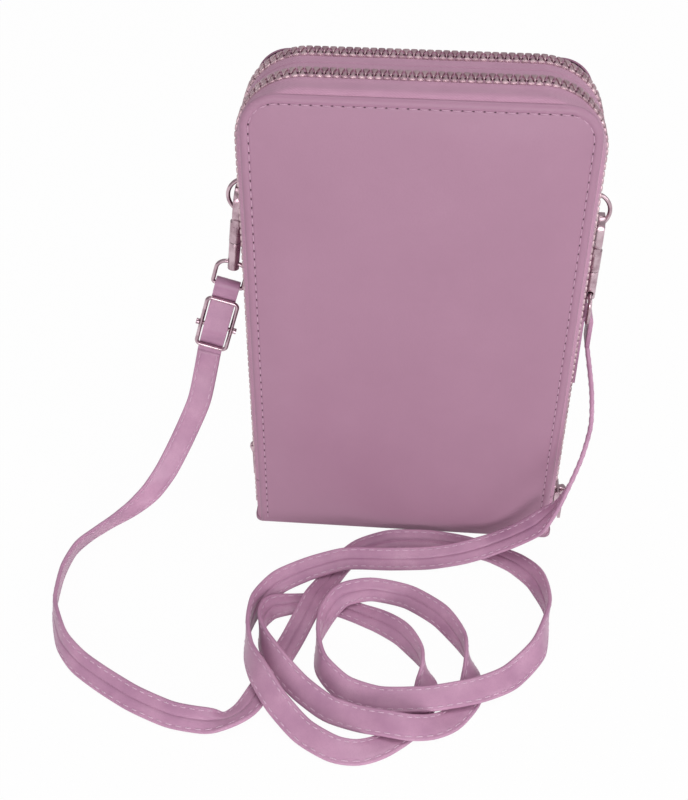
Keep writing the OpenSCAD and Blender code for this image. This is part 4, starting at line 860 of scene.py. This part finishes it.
leatherPieces = {"base_strip": 0.5, "left_tab": 0.2, "right_tab": 0.2}
for node, edge in leatherPieces.items():
    roundedCopy(node, node.replace("_", "-") + "-leather", coverLeather, edge)
for node in ("left_strap_end", "right_strap_end"):
    roundedCopy(node, node.replace("_", "-") + "-leather", strapLeather, 0.32, 3)
clothPieces = {"divider_front_lining": 0.15, "divider_rear_lining": 0.15, "front_lining": 0.15,
               "rear_lining": 0.15, "card_pocket_1": 0.12, "card_pocket_2": 0.12, "card_pocket_3": 0.12,
               "card_pocket_4": 0.12, "phone_pocket": 0.15}
for node, edge in clothPieces.items():
    roundedCopy(node, node.replace("_", "-") + "-cloth", liningCloth, edge)
for node in ("divider_board", "front_board", "rear_board"):
    roundedCopy(node, node.replace("_", "-") + "-fibre", board, 0.2)
print("hardware and inner pieces made")

# Gussets: one cloth folded four times between the divider and a cover, with soft folds
gussetSizes = {"outer": 54.5, "fold": 7.5, "near": 2.1, "far": 17.0, "low": 4.0, "high": 80.0, "thick": 0.5,
               "folds": 4, "middle": 51.0}


def gusset(name, node, side, sign, sizes):
    line = []
    count = 8 * sizes["folds"]
    for k in range(count + 1):
        t = k / 8
        swing = (1 - math.cos(math.pi * t)) / 2
        flat = swing * 0.35 + (1 - abs(1 - (t % 2))) * 0.65
        depth = sizes["near"] + (sizes["far"] - sizes["near"]) * t / sizes["folds"]
        line.append((sizes["outer"] - flat * sizes["fold"], depth))
    line = np.array(line)
    along = np.gradient(line, axis=0)
    along /= np.linalg.norm(along, axis=1)[:, None]
    normal = np.column_stack([-along[:, 1], along[:, 0]])
    heights = np.linspace(sizes["low"], sizes["high"], 14)
    loop = np.vstack([line + normal * sizes["thick"] / 2, (line - normal * sizes["thick"] / 2)[::-1]])
    points = [(side * p[0], sign * p[1], z) for z in heights for p in loop]
    faces = gridFaces(len(heights), len(loop), True)
    last = (len(heights) - 1) * len(loop)
    faces += [tuple(range(len(loop)))[::-1], tuple(last + k for k in range(len(loop)))]
    if side * sign > 0:
        faces = [f[::-1] for f in faces]
    piece = addMesh(name, np.array(points) * mm, faces, liningCloth)
    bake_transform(piece)
    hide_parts(node)
    return piece


for word, facts in pouchSides.items():
    for hand, side in (("left", -1), ("right", 1)):
        gusset("%s-%s-gusset-cloth" % (word, hand), "%s_%s_gusset" % (word, hand), side, facts["sign"],
               gussetSizes)
print("gussets made")

# Floor, backdrop and lamps: a plain white table in soft daylight
stageFacts = {"white": "#FFFFFF", "floor": "#F1EDEF", "room": "#F4F1F3", "roomLight": 0.5, "glow": 0.97,
              "halfWideM": 4.0, "aim": (0, -0.03, 0.07)}


def addFloor(facts):
    material, tree, shader = startMaterial("matt white paper", {"Base Color": linearColour(facts["floor"]),
                                                                "Roughness": 0.9,
                                                                "Specular IOR Level": 0.1})
    paper = addNode(tree, "ShaderNodeTexNoise", {"Scale": 400.0})
    bump = addNode(tree, "ShaderNodeBump", {"Strength": 0.05, "Distance": 0.1 * mm},
                   {"Height": paper.outputs["Fac"]})
    tree.links.new(bump.outputs[0], shader.inputs["Normal"])
    path = addNode(tree, "ShaderNodeLightPath")
    seen = addNode(tree, "ShaderNodeMath", {"operation": "MAXIMUM"}, {0: path.outputs["Is Camera Ray"],
                                                                      1: path.outputs["Is Glossy Ray"]})
    share = addNode(tree, "ShaderNodeMath", {"operation": "MULTIPLY", 1: facts["glow"]}, {0: seen.outputs[0]})
    glow = addNode(tree, "ShaderNodeEmission", {"Color": linearColour(facts["white"]), "Strength": 1.0})
    both = addNode(tree, "ShaderNodeMixShader", None, {0: share.outputs[0], 1: shader.outputs[0],
                                                       2: glow.outputs[0]})
    out = next(n for n in tree.nodes if n.bl_idname == "ShaderNodeOutputMaterial")
    tree.links.new(both.outputs[0], out.inputs["Surface"])
    wide = facts["halfWideM"]
    corners = [(-wide, -wide, 0), (wide, -wide, 0), (wide, wide, 0), (-wide, wide, 0)]
    floor = addMesh("floor", corners, [(0, 1, 2, 3)], material)


def addWorld(facts):
    world = bpy.data.worlds.new("soft room")
    world.use_nodes = True
    tree = world.node_tree
    tree.nodes.clear()
    path = addNode(tree, "ShaderNodeLightPath")
    room = addNode(tree, "ShaderNodeBackground", {"Color": linearColour(facts["room"]),
                                                  "Strength": facts["roomLight"]})
    white = addNode(tree, "ShaderNodeBackground", {"Color": linearColour(facts["white"]), "Strength": 1.0})
    seen = addNode(tree, "ShaderNodeMath", {"operation": "MAXIMUM"}, {0: path.outputs["Is Camera Ray"],
                                                                      1: path.outputs["Is Transmission Ray"]})
    both = addNode(tree, "ShaderNodeMixShader", None, {0: seen.outputs[0], 1: room.outputs[0],
                                                       2: white.outputs[0]})
    addNode(tree, "ShaderNodeOutputWorld", None, {"Surface": both.outputs[0]})
    bpy.context.scene.world = world


def addLamp(name, place, aim, size, watts):
    lamp = bpy.data.lights.new(name, "AREA")
    lamp.shape = "DISK"
    lamp.size = size
    lamp.energy = watts
    holder = bpy.data.objects.new(name, lamp)
    holder.location = place
    holder.rotation_mode = "QUATERNION"
    holder.rotation_quaternion = (Vector(aim) - Vector(place)).to_track_quat("-Z", "Y")
    bpy.context.scene.collection.objects.link(holder)


addFloor(stageFacts)
addWorld(stageFacts)
lamps = {"window": {"place": (-0.8, -1.6, 1.2), "size": 1.3, "watts": 2.0},
         "ceiling": {"place": (0.15, 0.1, 1.5), "size": 1.0, "watts": 6.0},
         "low wall": {"place": (0.1, -1.2, 0.06), "size": 0.8, "watts": 10.0},
         "wall": {"place": (1.2, -0.6, 0.6), "size": 0.8, "watts": 4.0}}
for name, lamp in lamps.items():
    addLamp(name, lamp["place"], stageFacts["aim"], lamp["size"], lamp["watts"])
bpy.context.scene.view_settings.view_transform = "Standard"
print("stage made")
